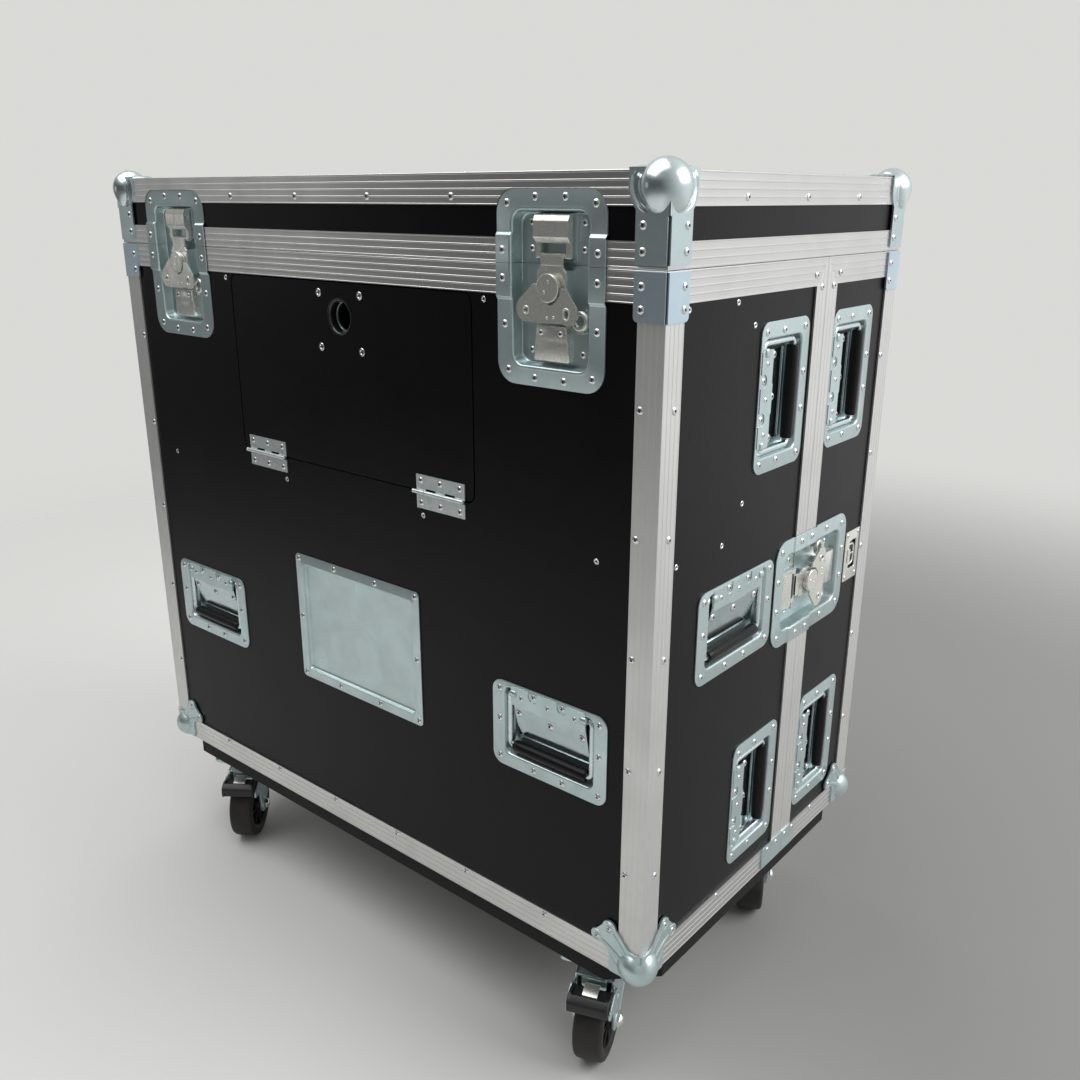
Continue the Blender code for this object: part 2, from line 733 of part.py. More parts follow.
def handle_bail():
    """A bent wire bail with its grip. Its origin is on the hinge line, midway between its arms."""
    arm = BAIL_ARM_SPACING / 2
    bend = BAIL_BEND
    end = arm - BAIL_INWARD
    grip = arm - GRIP_END_GAP
    half = [
        ((0.0, -BAIL_LENGTH, 0.0), GRIP_RADIUS),
        ((grip, -BAIL_LENGTH, 0.0), GRIP_RADIUS),
        ((grip, -BAIL_LENGTH, 0.0), BAIL_WIRE),
        ((arm - bend / 4, -BAIL_LENGTH + bend / 4, 0.0), BAIL_WIRE),
        ((arm, -BAIL_LENGTH + bend, 0.0), BAIL_WIRE),
        ((arm, -bend, 0.0), BAIL_WIRE),
        ((arm - bend / 4, -bend / 4, 0.0), BAIL_WIRE),
        ((arm - bend, 0.0, 0.0), BAIL_WIRE),
        ((end, 0.0, 0.0), BAIL_WIRE),
    ]
    mirrored = [((-x, y, z), radius) for (x, y, z), radius in reversed(half[1:])]
    whole = mirrored + half[1:]
    return tube([point for point, _ in whole], [radius for _, radius in whole], 6)


def handle_bail_matrix(place):
    height, depth = bail_axis()
    return place @ Matrix.Translation((0, height, depth))


# Pockets that the fittings need in the panels and extrusions

def latch_pocket(place):
    low, high = grown(*latch_recess(), SHEET + GAP)
    return placed(box((*low, -LATCH_RECESS - SHEET - GAP), (*high, OVERCUT)), place)


def handle_pocket(place):
    low, high = grown(*handle_recess(), SHEET + GAP)
    return placed(box((*low, -HANDLE_POCKET), (*high, OVERCUT)), place)


def flange_notch(place):
    """Room for a latch's flange where it lies on the panel, in front of the lid's angle."""
    half = LATCH_WIDTH / 2 + GAP
    low = LID_RIM_FACE + JOGGLE_MARGIN
    return placed(box((-half, low, -PANEL_INSET), (half, LATCH_KEEPER_LENGTH + GAP, OVERCUT)), place)


# Lid

def lid_panels():
    outer = box(
        (-HALF_WIDTH + PANEL_INSET, -HALF_DEPTH + PANEL_INSET, LID_BOTTOM + EXTRUSION_WALL + GAP),
        (HALF_WIDTH - PANEL_INSET, HALF_DEPTH - PANEL_INSET, CASE_TOP - PANEL_INSET),
    )
    inner = box(
        (-HALF_WIDTH + PANEL_BACK, -HALF_DEPTH + PANEL_BACK, LID_BOTTOM - OVERCUT),
        (HALF_WIDTH - PANEL_BACK, HALF_DEPTH - PANEL_BACK, CASE_TOP - PANEL_BACK),
    )
    # Between the corner plates the top stands up by the gap that its edge has under the extrusion.
    edge = max(BRACE_WIDTH, LID_ANGLE_FACE) + GAP
    field = box(
        (-HALF_WIDTH + edge, -HALF_DEPTH + edge, CASE_TOP - PANEL_BACK + GAP),
        (HALF_WIDTH - edge, HALF_DEPTH - edge, CASE_TOP - PANEL_INSET + GAP),
    )
    pockets = together([latch_pocket(place) for place in lid_latch_places().values()])
    piece("lid_panels", combined(outer, [field], [inner, pockets]), "laminate")


def lid_top_extrusion():
    low = CASE_TOP - LID_ANGLE_FACE
    outer = box((-HALF_WIDTH, -HALF_DEPTH, low), (HALF_WIDTH, HALF_DEPTH, CASE_TOP))
    wall = EXTRUSION_WALL
    inner = box(
        (-HALF_WIDTH + wall, -HALF_DEPTH + wall, low - OVERCUT),
        (HALF_WIDTH - wall, HALF_DEPTH - wall, CASE_TOP - wall),
    )
    face = LID_ANGLE_FACE
    window = box(
        (-HALF_WIDTH + face, -HALF_DEPTH + face, low),
        (HALF_WIDTH - face, HALF_DEPTH - face, CASE_TOP + OVERCUT),
    )
    notches = together([flange_notch(place) for place in lid_latch_places().values()])
    piece("lid_top_extrusion", combined(outer, cuts=[inner, window, notches]), "aluminium")


def lid_rim_extrusion():
    high = LID_BOTTOM + LID_RIM_FACE
    outer = box((-HALF_WIDTH, -HALF_DEPTH, LID_BOTTOM), (HALF_WIDTH, HALF_DEPTH, high))
    wall = EXTRUSION_WALL
    inner = box(
        (-HALF_WIDTH + wall, -HALF_DEPTH + wall, LID_BOTTOM + wall),
        (HALF_WIDTH - wall, HALF_DEPTH - wall, high + OVERCUT),
    )
    window = box(
        (-HALF_WIDTH + WEB_DEPTH, -HALF_DEPTH + WEB_DEPTH, LID_BOTTOM - OVERCUT),
        (HALF_WIDTH - WEB_DEPTH, HALF_DEPTH - WEB_DEPTH, high),
    )
    pockets = together([latch_pocket(place) for place in lid_latch_places().values()])
    piece("lid_rim_extrusion", combined(outer, cuts=[inner, window, pockets]), "aluminium")


def lid_corner(name, sign_x, sign_y):
    """A ball corner with a folded brace down both faces of the lid's edge."""
    reach = BRACE_WIDTH
    proud = BRACE_PROUD
    bottom = LID_BOTTOM + LID_BRACE_END
    sleeve = box((-reach, -reach, bottom), (proud, proud, CASE_TOP + proud))
    centre = (-TOP_BALL_INSET, -TOP_BALL_INSET, CASE_TOP - TOP_BALL_INSET)
    block = box((-reach - OVERCUT, -reach - OVERCUT, bottom - OVERCUT), (GAP, GAP, CASE_TOP + GAP))
    mesh = combined(sleeve, [sphere(TOP_BALL_RADIUS, centre)], [block])
    yaw = {(1, 1): 0, (-1, 1): 90, (-1, -1): 180, (1, -1): 270}[(sign_x, sign_y)]
    corner = Matrix.Translation((sign_x * HALF_WIDTH, sign_y * HALF_DEPTH, 0))
    piece(name, mesh, "zinc", corner @ Matrix.Rotation(math.radians(yaw), 4, "Z"))


def make_lid():
    lid_panels()
    lid_top_extrusion()
    lid_rim_extrusion()
    for side, sign in SIDES.items():
        lid_corner(f"lid_corner_front_{side}", sign, -1)
        lid_corner(f"lid_corner_back_{side}", sign, 1)
    keeper = keeper_half(LID_RIM_FACE, BODY_RIM_FACE)
    for name, place in lid_latch_places().items():
        piece(f"lid_keeper_{name}", keeper.copy(), "zinc", place)


# Frames of extrusion with their corner hardware

def ear(sign):
    """One lobed ear of a bottom corner, as an outline away from the corner in the face's plane."""
    neck = EAR_SPREAD - EAR_NECK
    corner = -BRACE_PROUD / 2
    waist = EAR_SADDLE + EAR_STEP
    points = [(corner, EAR_EDGE), (neck, EAR_EDGE), (neck, EAR_STEP)]
    points += arc((EAR_SPREAD, EAR_RISE - EAR_NECK), EAR_LOBE, -50, 95, 4)
    points += arc((neck, EAR_RISE), EAR_LOBE, 30, 195, 4)
    points += [(EAR_SADDLE, waist), (EAR_SADDLE / 2, EAR_SADDLE + EAR_STEP / 4), (corner, EAR_SADDLE)]
    return [(sign * away, CASE_BOTTOM + rise) for away, rise in points]


def bottom_corner(sign_x, sign_y):
    """A ball with two ears, joined to the frame's corner."""
    x = sign_x * HALF_WIDTH
    y = sign_y * HALF_DEPTH
    ball = sphere(
        BOTTOM_BALL_RADIUS,
        (x - sign_x * BOTTOM_BALL_INSET, y - sign_y * BOTTOM_BALL_INSET, CASE_BOTTOM + BOTTOM_BALL_RISE),
    )
    ear_x = [(x + across, height) for across, height in ear(-sign_x)]
    ear_y = [(y + across, height) for across, height in ear(-sign_y)]
    return [
        ball,
        prism(ear_x, y - sign_y * BRACE_SINK, y + sign_y * BRACE_PROUD, "Y"),
        prism(ear_y, x - sign_x * BRACE_SINK, x + sign_x * BRACE_PROUD, "X"),
    ]


def top_brace(sign_x, sign_y):
    """The folded brace on a corner just under the split."""
    top = BODY_TOP - BRACE_DROP
    ends_x = sorted((sign_x * (HALF_WIDTH - BRACE_WIDTH), sign_x * (HALF_WIDTH + BRACE_PROUD)))
    ends_y = sorted((sign_y * (HALF_DEPTH - BRACE_WIDTH), sign_y * (HALF_DEPTH + BRACE_PROUD)))
    return box((ends_x[0], ends_y[0], top - BODY_BRACE_HEIGHT), (ends_x[1], ends_y[1], top))


def seam_brace(sign_x, start, end):
    """Half of the plate that joins the bottom extrusions at the seam."""
    ends = sorted((sign_x * (HALF_WIDTH - BRACE_SINK), sign_x * (HALF_WIDTH + BRACE_PROUD)))
    low = CASE_BOTTOM + SEAM_BRACE_RISE
    return box((ends[0], start, low), (ends[1], end, low + SEAM_BRACE_HEIGHT))


def side_pockets():
    return together([latch_pocket(place) for place in side_latch_places().values()])


def frame_mesh(front, back, sign_y, hardware, pockets):
    """Extrusions round a box that is open above and towards the seam, with the hardware joined."""
    wall = EXTRUSION_WALL
    outer = box((-HALF_WIDTH, front, CASE_BOTTOM), (HALF_WIDTH, back, BODY_TOP))
    low = CASE_BOTTOM + BOTTOM_FACE
    high = BODY_TOP - BODY_RIM_FACE
    half = HALF_WIDTH - POST_FACE
    if sign_y < 0:
        faces = (front + POST_FACE, back - SEAM_FACE)
        mouth = (front + WEB_DEPTH, back + OVERCUT)
        wide = (front - OVERCUT, front + POST_FACE)
        hollow = (front + wall, back - wall)
    else:
        faces = (front + SEAM_FACE, back - POST_FACE)
        mouth = (front - OVERCUT, back - WEB_DEPTH)
        wide = (back - POST_FACE, back + OVERCUT)
        hollow = (front + wall, back - wall)
    inside = HALF_WIDTH - WEB_DEPTH
    inner = box((-inside, mouth[0], CASE_BOTTOM + WEB_DEPTH), (inside, mouth[1], BODY_TOP + OVERCUT))
    cuts = [
        inner,
        box((-half, wide[0], low), (half, wide[1], high)),
        box((-HALF_WIDTH - OVERCUT, faces[0], low), (HALF_WIDTH + OVERCUT, faces[1], high)),
        box(
            (-HALF_WIDTH + BOTTOM_FACE, faces[0], CASE_BOTTOM - OVERCUT),
            (HALF_WIDTH - BOTTOM_FACE, faces[1], low + OVERCUT),
        ),
    ]
    bars = combined(outer, cuts=cuts)
    cavity = box(
        (-HALF_WIDTH + wall, hollow[0], CASE_BOTTOM + wall),
        (HALF_WIDTH - wall, hollow[1], BODY_TOP - wall),
    )
    return combined(bars, hardware, [cavity, inner, *pockets])


def body_frame():
    hardware = []
    for sign in SIDES.values():
        hardware += bottom_corner(sign, -1)
        hardware.append(top_brace(sign, -1))
        hardware.append(seam_brace(sign, SEAM - SEAM_BRACE_FRONT, SEAM - GAP))
    places = lid_latch_places()
    latches = together([latch_pocket(places[name]) for name in ("front_left", "front_right")])
    mesh = frame_mesh(-HALF_DEPTH, SEAM, -1, hardware, [latches, side_pockets()])
    piece("body_frame", mesh, "aluminium")


def rear_frame():
    hardware = []
    for sign in SIDES.values():
        hardware += bottom_corner(sign, 1)
        hardware.append(top_brace(sign, 1))
        hardware.append(seam_brace(sign, COVER_FRONT + GAP, SEAM + SEAM_BRACE_BACK))
    places = lid_latch_places()
    latches = together([latch_pocket(places[name]) for name in ("back_left", "back_right")])
    mesh = frame_mesh(COVER_FRONT, HALF_DEPTH, 1, hardware, [latches, side_pockets()])
    piece("rear_frame", mesh, "aluminium")


# Hatch

def hatch_outline(inset=0.0):
    half = HATCH_WIDTH / 2 - inset
    low = CASE_BOTTOM + HATCH_BOTTOM + inset
    high = BODY_TOP - BODY_RIM_FACE - HATCH_TOP_MARGIN + HATCH_CLEARANCE - inset
    return rounded((FRONT_OFFSET - half, low), (FRONT_OFFSET + half, high), HATCH_CORNER)


def hatch_axis():
    """Height and depth of the hatch's hinge line."""
    height = CASE_BOTTOM + HATCH_BOTTOM + HATCH_CLEARANCE / 2
    return height, -HALF_DEPTH - HINGE_RISE


def hinge_leaves(upward):
    """The leaves and knuckles on one side of the hinge line, sunk a little into their panel."""
    height, depth = hatch_axis()
    leaf_back = -HALF_DEPTH + PANEL_INSET + GAP
    leaf_front = leaf_back - GAP - SHEET
    sign = 1 if upward else -1
    knuckle = HINGE_WIDTH / KNUCKLES
    parts = []
    for side in (-1, 1):
        centre = FRONT_OFFSET + side * HINGE_SPACING / 2
        start = centre - HINGE_WIDTH / 2
        near = height + sign * (KNUCKLE_RADIUS + GAP)
        heights = sorted((near, height + sign * HINGE_LEAF))
        leaf = box((start, leaf_front, heights[0]), (start + HINGE_WIDTH, leaf_back, heights[1]))
        rolls = []
        for place in range(1 if upward else 0, KNUCKLES, 2):
            ends = (start + place * knuckle + GAP / 2, start + (place + 1) * knuckle - GAP / 2)
            rolls.append(cylinder(KNUCKLE_RADIUS, (ends[0], depth, height), (ends[1], depth, height), 8))
            levels = sorted((height, near + sign * KNUCKLE_TONGUE))
            rolls.append(box(
                (ends[0], leaf_front - GAP / 2, levels[0]), (ends[1], leaf_front + SHEET / 2, levels[1]),
            ))
        parts.append(combined(leaf, rolls))
    return parts


def hatch_door():
    back = -HALF_DEPTH + PANEL_BACK
    face = -HALF_DEPTH + PANEL_INSET
    door = prism(hatch_outline(HATCH_CLEARANCE), face, back, "Y")
    height = pull_height()
    hole_ends = [(FRONT_OFFSET, depth, height) for depth in (face - OVERCUT, back + OVERCUT)]
    hole = cylinder(PULL_RADIUS, hole_ends[0], hole_ends[1], 16)
    low = height - BOLT_LOW - BOLT_TRAVEL - RAIL_SHEET
    high = height + BOLT_SHOULDER + BOLT_TRAVEL
    lip = back + GAP + BOLT_SHEET + GAP
    lip_back = lip + RAIL_SHEET
    rails = []
    for sign in (-1, 1):
        inner = BOLT_PLATE / 2 + GAP
        near, far = sorted((FRONT_OFFSET + sign * inner, FRONT_OFFSET + sign * (inner + RAIL_WIDTH)))
        rails.append(box((near, back - RAIL_SHEET / 2, low), (far, lip_back, high)))
        lip_ends = (inner - RAIL_LIP, inner + RAIL_LIP)
        near, far = sorted(FRONT_OFFSET + sign * end for end in lip_ends)
        rails.append(box((near, lip, low), (far, lip_back, high)))
    mesh = combined(door, [*hinge_leaves(True), *rails], [hole])
    line, depth = hatch_axis()
    origin = Matrix.Translation((FRONT_OFFSET, depth, line))
    return piece("hatch_door", placed(mesh, origin.inverted()), "laminate", origin)


def pull_height():
    return BODY_TOP - BODY_RIM_FACE - HATCH_TOP_MARGIN - PULL_DROP


def hatch_latch(door):
    """A sliding bolt behind the door, with a finger hole in line with the door's."""
    height = pull_height()
    near = -HALF_DEPTH + PANEL_BACK + GAP
    half = BOLT_PLATE / 2
    top = PULL_DROP - HATCH_CLEARANCE
    neck = BOLT_WIDTH / 2
    shoulder = BOLT_SHOULDER
    throat = shoulder + RAIL_LIP
    outline = [(-half, -BOLT_LOW), (half, -BOLT_LOW), (half, shoulder), (neck, throat), (neck, top)]
    outline += [(-neck, top), (-neck, throat), (-half, shoulder)]
    shape = prism(outline, 0.0, BOLT_SHEET, "Y")
    hole = cylinder(BOLT_RADIUS, (0, -OVERCUT, 0), (0, OVERCUT, 0), 16)
    place = Matrix.Translation((FRONT_OFFSET, near, height))
    piece("hatch_latch", combined(shape, cuts=[hole]), "zinc", place, door)


# Panels

def dish_group(handle_places, latch_halves):
    """Handle dishes and latch halves, placed and ready to join to their panel."""
    dish = handle_dish()
    group = [placed(dish, place) for place in handle_places]
    return group + [placed(mesh, place) for mesh, place in latch_halves]


def handle_pockets(places):
    return together([handle_pocket(place) for place in places])


def front_panel():
    face = -HALF_DEPTH + PANEL_INSET
    back = -HALF_DEPTH + PANEL_BACK
    panel = box(
        (-HALF_WIDTH + PANEL_INSET, face, CASE_BOTTOM + PANEL_INSET),
        (HALF_WIDTH - PANEL_INSET, back, BODY_TOP - PANEL_INSET),
    )
    places = lid_latch_places()
    handles = list(front_handle_places().values())
    latches = together([latch_pocket(places[name]) for name in ("front_left", "front_right")])
    hatch = prism(hatch_outline(), face - OVERCUT, back + OVERCUT, "Y")
    pocket_low, pocket_high = grown(*label_recess(), SHEET + GAP)
    label = placed(box((*pocket_low, -HANDLE_POCKET), (*pocket_high, OVERCUT)), label_place())
    cut = combined(panel, cuts=[latches, hatch, label, handle_pockets(handles)])
    mesh = combined(cut, dish_group(handles, []) + hinge_leaves(False))
    piece("front_panel", mesh, "laminate")


def side_panel(side):
    sign = SIDES[side]
    ends = sorted((sign * (HALF_WIDTH - PANEL_BACK), sign * (HALF_WIDTH - PANEL_INSET)))
    panel = box(
        (ends[0], -HALF_DEPTH + PANEL_BACK + GAP, CASE_BOTTOM + PANEL_INSET),
        (ends[1], SEAM - PANEL_INSET, BODY_TOP - PANEL_INSET),
    )
    handles = list(side_handle_places(side).values())
    latch = side_latch_places()[side]
    cut = combined(panel, cuts=[latch_pocket(latch), handle_pockets(handles)])
    keeper = keeper_half(SEAM_FACE, SEAM_FACE, 2 * GAP)
    mesh = combined(cut, dish_group(handles, [(keeper, latch)]))
    piece(f"{side}_panel", mesh, "laminate")


def base_panel():
    inset = PANEL_BACK + GAP
    mesh = box(
        (-HALF_WIDTH + inset, -HALF_DEPTH + inset, CASE_BOTTOM + PANEL_INSET),
        (HALF_WIDTH - inset, SEAM - PANEL_INSET, CASE_BOTTOM + PANEL_BACK),
    )
    piece("base_panel", mesh, "laminate")


def rear_panels():
    outer = box(
        (-HALF_WIDTH + PANEL_INSET, COVER_FRONT + PANEL_INSET, CASE_BOTTOM + PANEL_INSET),
        (HALF_WIDTH - PANEL_INSET, HALF_DEPTH - PANEL_INSET, BODY_TOP - PANEL_INSET),
    )
    inner = box(
        (-HALF_WIDTH + PANEL_BACK, COVER_FRONT - OVERCUT, CASE_BOTTOM + PANEL_BACK),
        (HALF_WIDTH - PANEL_BACK, HALF_DEPTH - PANEL_BACK, BODY_TOP + OVERCUT),
    )
    places = lid_latch_places()
    latches = together([latch_pocket(places[name]) for name in ("back_left", "back_right")])
    handles = list(cover_handle_places().values())
    cut = combined(outer, cuts=[inner, latches, side_pockets(), handle_pockets(handles)])
    wing = wing_half(SEAM_FACE, SEAM_FACE, 2 * GAP)
    halves = [(wing, place) for place in side_latch_places().values()]
    piece("rear_panels", combined(cut, dish_group(handles, halves)), "laminate")


# Label dish

def label_recess():
    half_width = LABEL_WIDTH / 2 - LABEL_FLANGE
    half_height = LABEL_HEIGHT / 2 - LABEL_FLANGE
    return (-half_width, -half_height), (half_width, half_height)


def label_place():
    return on_face("front", FRONT_OFFSET, CASE_BOTTOM + LABEL_RISE)


def label_dish():
    low, high = label_recess()
    half = Vector((LABEL_WIDTH / 2, LABEL_HEIGHT / 2))
    corner = LABEL_RECESS_CORNER
    flange = rounded(-half, half, LABEL_CORNER)
    opening = rounded(low, high, corner)
    floor = rounded(*grown(low, high, -SHEET), corner - SHEET / 2)
    wall = rounded(*grown(low, high, SHEET), corner + SHEET / 2)
    depth = FLANGE_FRONT - LABEL_RECESS
    mesh = loft([
        [(x, y, depth) for x, y in floor],
        [(x, y, FLANGE_FRONT) for x, y in opening],
        [(x, y, FLANGE_FRONT) for x, y in flange],
        [(x, y, FLANGE_FRONT - SHEET) for x, y in flange],
        [(x, y, FLANGE_FRONT - SHEET) for x, y in wall],
        [(x, y, depth - SHEET) for x, y in opening],
    ])
    piece("label_dish", mesh, "zinc", label_place())


# Latches and handles that move

def make_latches():
    dish = wing_half(LID_RIM_FACE, BODY_RIM_FACE)
    wing = latch_wing()
    hook = latch_hook()
    places = lid_latch_places()
    for name, place in places.items():
        piece(f"{name.replace('_', '_latch_dish_')}", dish.copy(), "zinc", place)
    for name, place in {**places, **{f"side_{k}": v for k, v in side_latch_places().items()}}.items():
        axis = place @ Matrix.Translation((0, -CAM_DROP, 0))
        piece(f"latch_wing_{name}", wing.copy(), "nickel", axis)
        piece(f"latch_hook_{name}", hook.copy(), "nickel", axis)


def make_bails():
    bail = handle_bail()
    places = {**front_handle_places(), **cover_handle_places()}
    for side in SIDES:
        places.update(side_handle_places(side))
    for name, place in places.items():
        piece(f"handle_bail_{name}", bail.copy(), "grip", handle_bail_matrix(place))


# Castors

def castor_places():
    across = HALF_WIDTH - CASTOR_INSET
    return {
        "front_left": (-across, -HALF_DEPTH + CASTOR_FRONT),
        "front_right": (across, -HALF_DEPTH + CASTOR_FRONT),
        "back_left": (-across, HALF_DEPTH - CASTOR_BACK),
        "back_right": (across, HALF_DEPTH - CASTOR_BACK),
    }


def castor_board():
    half_width = HALF_WIDTH - BOARD_INSET
    half_depth = HALF_DEPTH - BOARD_INSET
    cut = BOARD_CORNER
    outline = [
        (half_width, -half_depth + cut), (half_width, half_depth - cut), (half_width - cut, half_depth),
        (-half_width + cut, half_depth), (-half_width, half_depth - cut), (-half_width, -half_depth + cut),
        (-half_width + cut, -half_depth), (half_width - cut, -half_depth),
    ]
    low = CASTOR_HEIGHT
    board = prism(outline, low, low + BOARD_THICKNESS + GAP)
    plates = []
    for x, y in castor_places().values():
        plates.append(box(
            (x - CASTOR_PLATE_WIDTH / 2, y - CASTOR_PLATE_LENGTH / 2, low - CASTOR_PLATE_THICKNESS),
            (x + CASTOR_PLATE_WIDTH / 2, y + CASTOR_PLATE_LENGTH / 2, low + CASTOR_PLATE_THICKNESS / 3),
        ))
    piece("castor_board", combined(board, [together(plates)]), "board")


def fork_mesh():
    """Crown, legs and axle. The origin is on the swivel's axis at the floor."""
    top = CASTOR_HEIGHT - CASTOR_PLATE_THICKNESS - GAP
    crown_top = top - SWIVEL_HEIGHT
    crown_low = crown_top - FORK_SHEET
    inner = WHEEL_WIDTH / 2 + FORK_CLEARANCE
    outer = inner + FORK_SHEET
    axle = (-CASTOR_TRAIL, WHEEL_RADIUS)
    outline = [
        (CROWN_BACK, crown_low + FORK_SHEET / 3), (CROWN_BACK, crown_top), (-CROWN_FRONT, crown_top),
        (-CROWN_FRONT - FORK_SHEET, crown_low - LEG_END),
    ]
    outline += arc(axle, LEG_END, 180, 350, 4)
    outline += [(LEG_BACK, WHEEL_RADIUS + LEG_NECK)]
    crown = box((-outer, -CROWN_FRONT, crown_low), (outer, CROWN_BACK, crown_top))
    parts = [cylinder(SWIVEL_RADIUS, (0, 0, crown_low + FORK_SHEET / 3), (0, 0, top), 14)]
    for sign in (-1, 1):
        ends = sorted((sign * inner, sign * outer))
        parts.append(prism(outline, ends[0], ends[1], "X"))
        nut_ends = (sign * (outer - FORK_SHEET / 3), sign * (outer + NUT_THICKNESS))
        centre = [(end, axle[0], axle[1]) for end in nut_ends]
        parts.append(cylinder(NUT_RADIUS, centre[0], centre[1], 6))
    parts.append(cylinder(AXLE_RADIUS, (-outer, axle[0], axle[1]), (outer, axle[0], axle[1]), 10))
    return combined(crown, parts)


def wheel_mesh():
    """The tyre and hub, bored for the axle. The origin is the wheel's centre."""
    half = WHEEL_WIDTH / 2
    hub = half + FORK_CLEARANCE - GAP
    bore = AXLE_RADIUS + GAP
    web = half - WHEEL_DISH
    profile = [
        (hub, bore), (hub, HUB_RADIUS), (web, HUB_RADIUS + WHEEL_DISH / 2),
        (web, WHEEL_RADIUS - 3 * WHEEL_DISH), (half, WHEEL_RADIUS - WHEEL_DISH), (web, WHEEL_RADIUS),
    ]
    mirrored = [(-along, radius) for along, radius in reversed(profile)]
    return turned(profile + mirrored, 20)


def pedal_mesh():
    """The brake pedal over the tyre, with an arm outside each leg. Its origin is on its pivot."""
    inner = WHEEL_WIDTH / 2 + FORK_CLEARANCE + FORK_SHEET + GAP
    outer = inner + PEDAL_SHEET
    reach = PEDAL_REACH
    low = PEDAL_CLEAR
    high = PEDAL_RISE
    root = -2 * low
    bend = 2 * root - low
    tread_outline = [(root, low), (root, high - SHEET), (bend, high), (-reach, high - low), (-reach, low / 2)]
    tread = prism([*tread_outline, (bend, low + 2 * SHEET)], -outer, outer, "X")
    arm = [(low, -low), (low, low), (-low, 2 * low), (2 * root, high - SHEET), (2 * root, low), (-low, -low)]
    arms = [prism(arm, *sorted((sign * inner, sign * outer)), "X") for sign in (-1, 1)]
    return combined(tread, arms)


def make_castors():
    fork = fork_mesh()
    wheel = wheel_mesh()
    pedal = pedal_mesh()
    for name, (x, y) in castor_places().items():
        turn = Matrix.Rotation(math.radians(CASTOR_YAW[name]), 4, "Z")
        place = Matrix.Translation((x, y, 0)) @ turn
        fork_piece = piece(f"castor_fork_{name}", fork.copy(), "zinc", place)
        axle = place @ Matrix.Translation((0, -CASTOR_TRAIL, WHEEL_RADIUS))
        piece(f"castor_wheel_{name}", wheel.copy(), "tyre", axle, fork_piece)
        if name.startswith("front"):
            pivot = place @ Matrix.Translation(PEDAL_PIVOT)
            piece(f"brake_pedal_{name}", pedal.copy(), "pedal", pivot, fork_piece)


def main():
    for obj in list(bpy.data.objects):
        bpy.data.objects.remove(obj, do_unlink=True)
    make_lid()
    body_frame()
    front_panel()
    for side in SIDES:
        side_panel(side)
    base_panel()
    label_dish()
    rear_frame()
    rear_panels()
    hatch_latch(hatch_door())
    make_latches()
    make_bails()
    castor_board()
    make_castors()
    print(len(bpy.data.objects), "pieces")


main()
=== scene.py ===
import json
import math

import bmesh
import bpy
from mathutils import Matrix, Vector

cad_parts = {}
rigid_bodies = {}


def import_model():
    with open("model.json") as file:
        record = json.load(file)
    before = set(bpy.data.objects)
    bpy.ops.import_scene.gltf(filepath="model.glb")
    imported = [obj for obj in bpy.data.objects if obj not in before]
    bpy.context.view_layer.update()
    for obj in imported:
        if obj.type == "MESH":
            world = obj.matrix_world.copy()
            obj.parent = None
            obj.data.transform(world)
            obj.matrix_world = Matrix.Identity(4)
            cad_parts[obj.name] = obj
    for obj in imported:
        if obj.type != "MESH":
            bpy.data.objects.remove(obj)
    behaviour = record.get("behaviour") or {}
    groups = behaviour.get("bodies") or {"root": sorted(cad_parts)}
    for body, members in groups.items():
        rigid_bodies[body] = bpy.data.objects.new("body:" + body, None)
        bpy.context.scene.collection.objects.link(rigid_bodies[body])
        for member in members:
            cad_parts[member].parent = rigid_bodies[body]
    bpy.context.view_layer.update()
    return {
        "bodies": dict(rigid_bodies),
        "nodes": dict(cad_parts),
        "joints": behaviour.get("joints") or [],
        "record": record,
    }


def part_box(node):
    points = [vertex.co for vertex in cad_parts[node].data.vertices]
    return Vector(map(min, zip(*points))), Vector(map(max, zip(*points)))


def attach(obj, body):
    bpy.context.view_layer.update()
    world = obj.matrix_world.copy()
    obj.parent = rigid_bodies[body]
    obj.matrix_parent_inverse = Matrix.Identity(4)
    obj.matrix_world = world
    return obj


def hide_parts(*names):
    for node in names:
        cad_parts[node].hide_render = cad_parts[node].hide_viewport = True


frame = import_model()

mm = 0.001      # shapes are drawn in millimetres
gap = 0.3       # left free between pieces that meet
sheet = 1.5     # thickness of the pressed metal
flangeFront = -0.5      # the dishes' flanges, behind the face of the case

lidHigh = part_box("lid_top_extrusion")[1] / mm
caseSize = {
    "halfWidth": lidHigh.x,
    "halfDepth": lidHigh.y,
    "top": lidHigh.z,
    "lidBottom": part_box("lid_rim_extrusion")[0].z / mm,
    "bottom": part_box("castor_board")[1].z / mm + gap,
    "seam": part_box("right_panel")[1].y / mm,
    "panelInset": 2.3,
    "panelThickness": 9.0,
    "topField": 34.3,      # from the lid's sides to the raised field of its top
}
caseSize["bodyTop"] = caseSize["lidBottom"] - gap
caseSize["split"] = caseSize["lidBottom"] - gap / 2
caseSize["seamMiddle"] = caseSize["seam"] + gap / 2
sides = {"left": -1, "right": 1}
faceYaw = {"front": 0, "right": 90, "back": 180, "left": 270}


# Shapes are pairs of a point list and a face list

def joined(*shapes):
    verts, faces = [], []
    for shapeVerts, shapeFaces in shapes:
        start = len(verts)
        verts += [Vector(vert) for vert in shapeVerts]
        faces += [[start + corner for corner in face] for face in shapeFaces]
    return verts, faces


def moved(shape, matrix):
    return [matrix @ Vector(vert) for vert in shape[0]], shape[1]


def shifted(shape, x=0.0, y=0.0, z=0.0):
    return moved(shape, Matrix.Translation((x, y, z)))


def turnedBy(shape, degrees, axis):
    return moved(shape, Matrix.Rotation(math.radians(degrees), 4, axis))


def mirroredX(shape, sign):
    return [Vector((sign * vert[0], vert[1], vert[2])) for vert in shape[0]], shape[1]


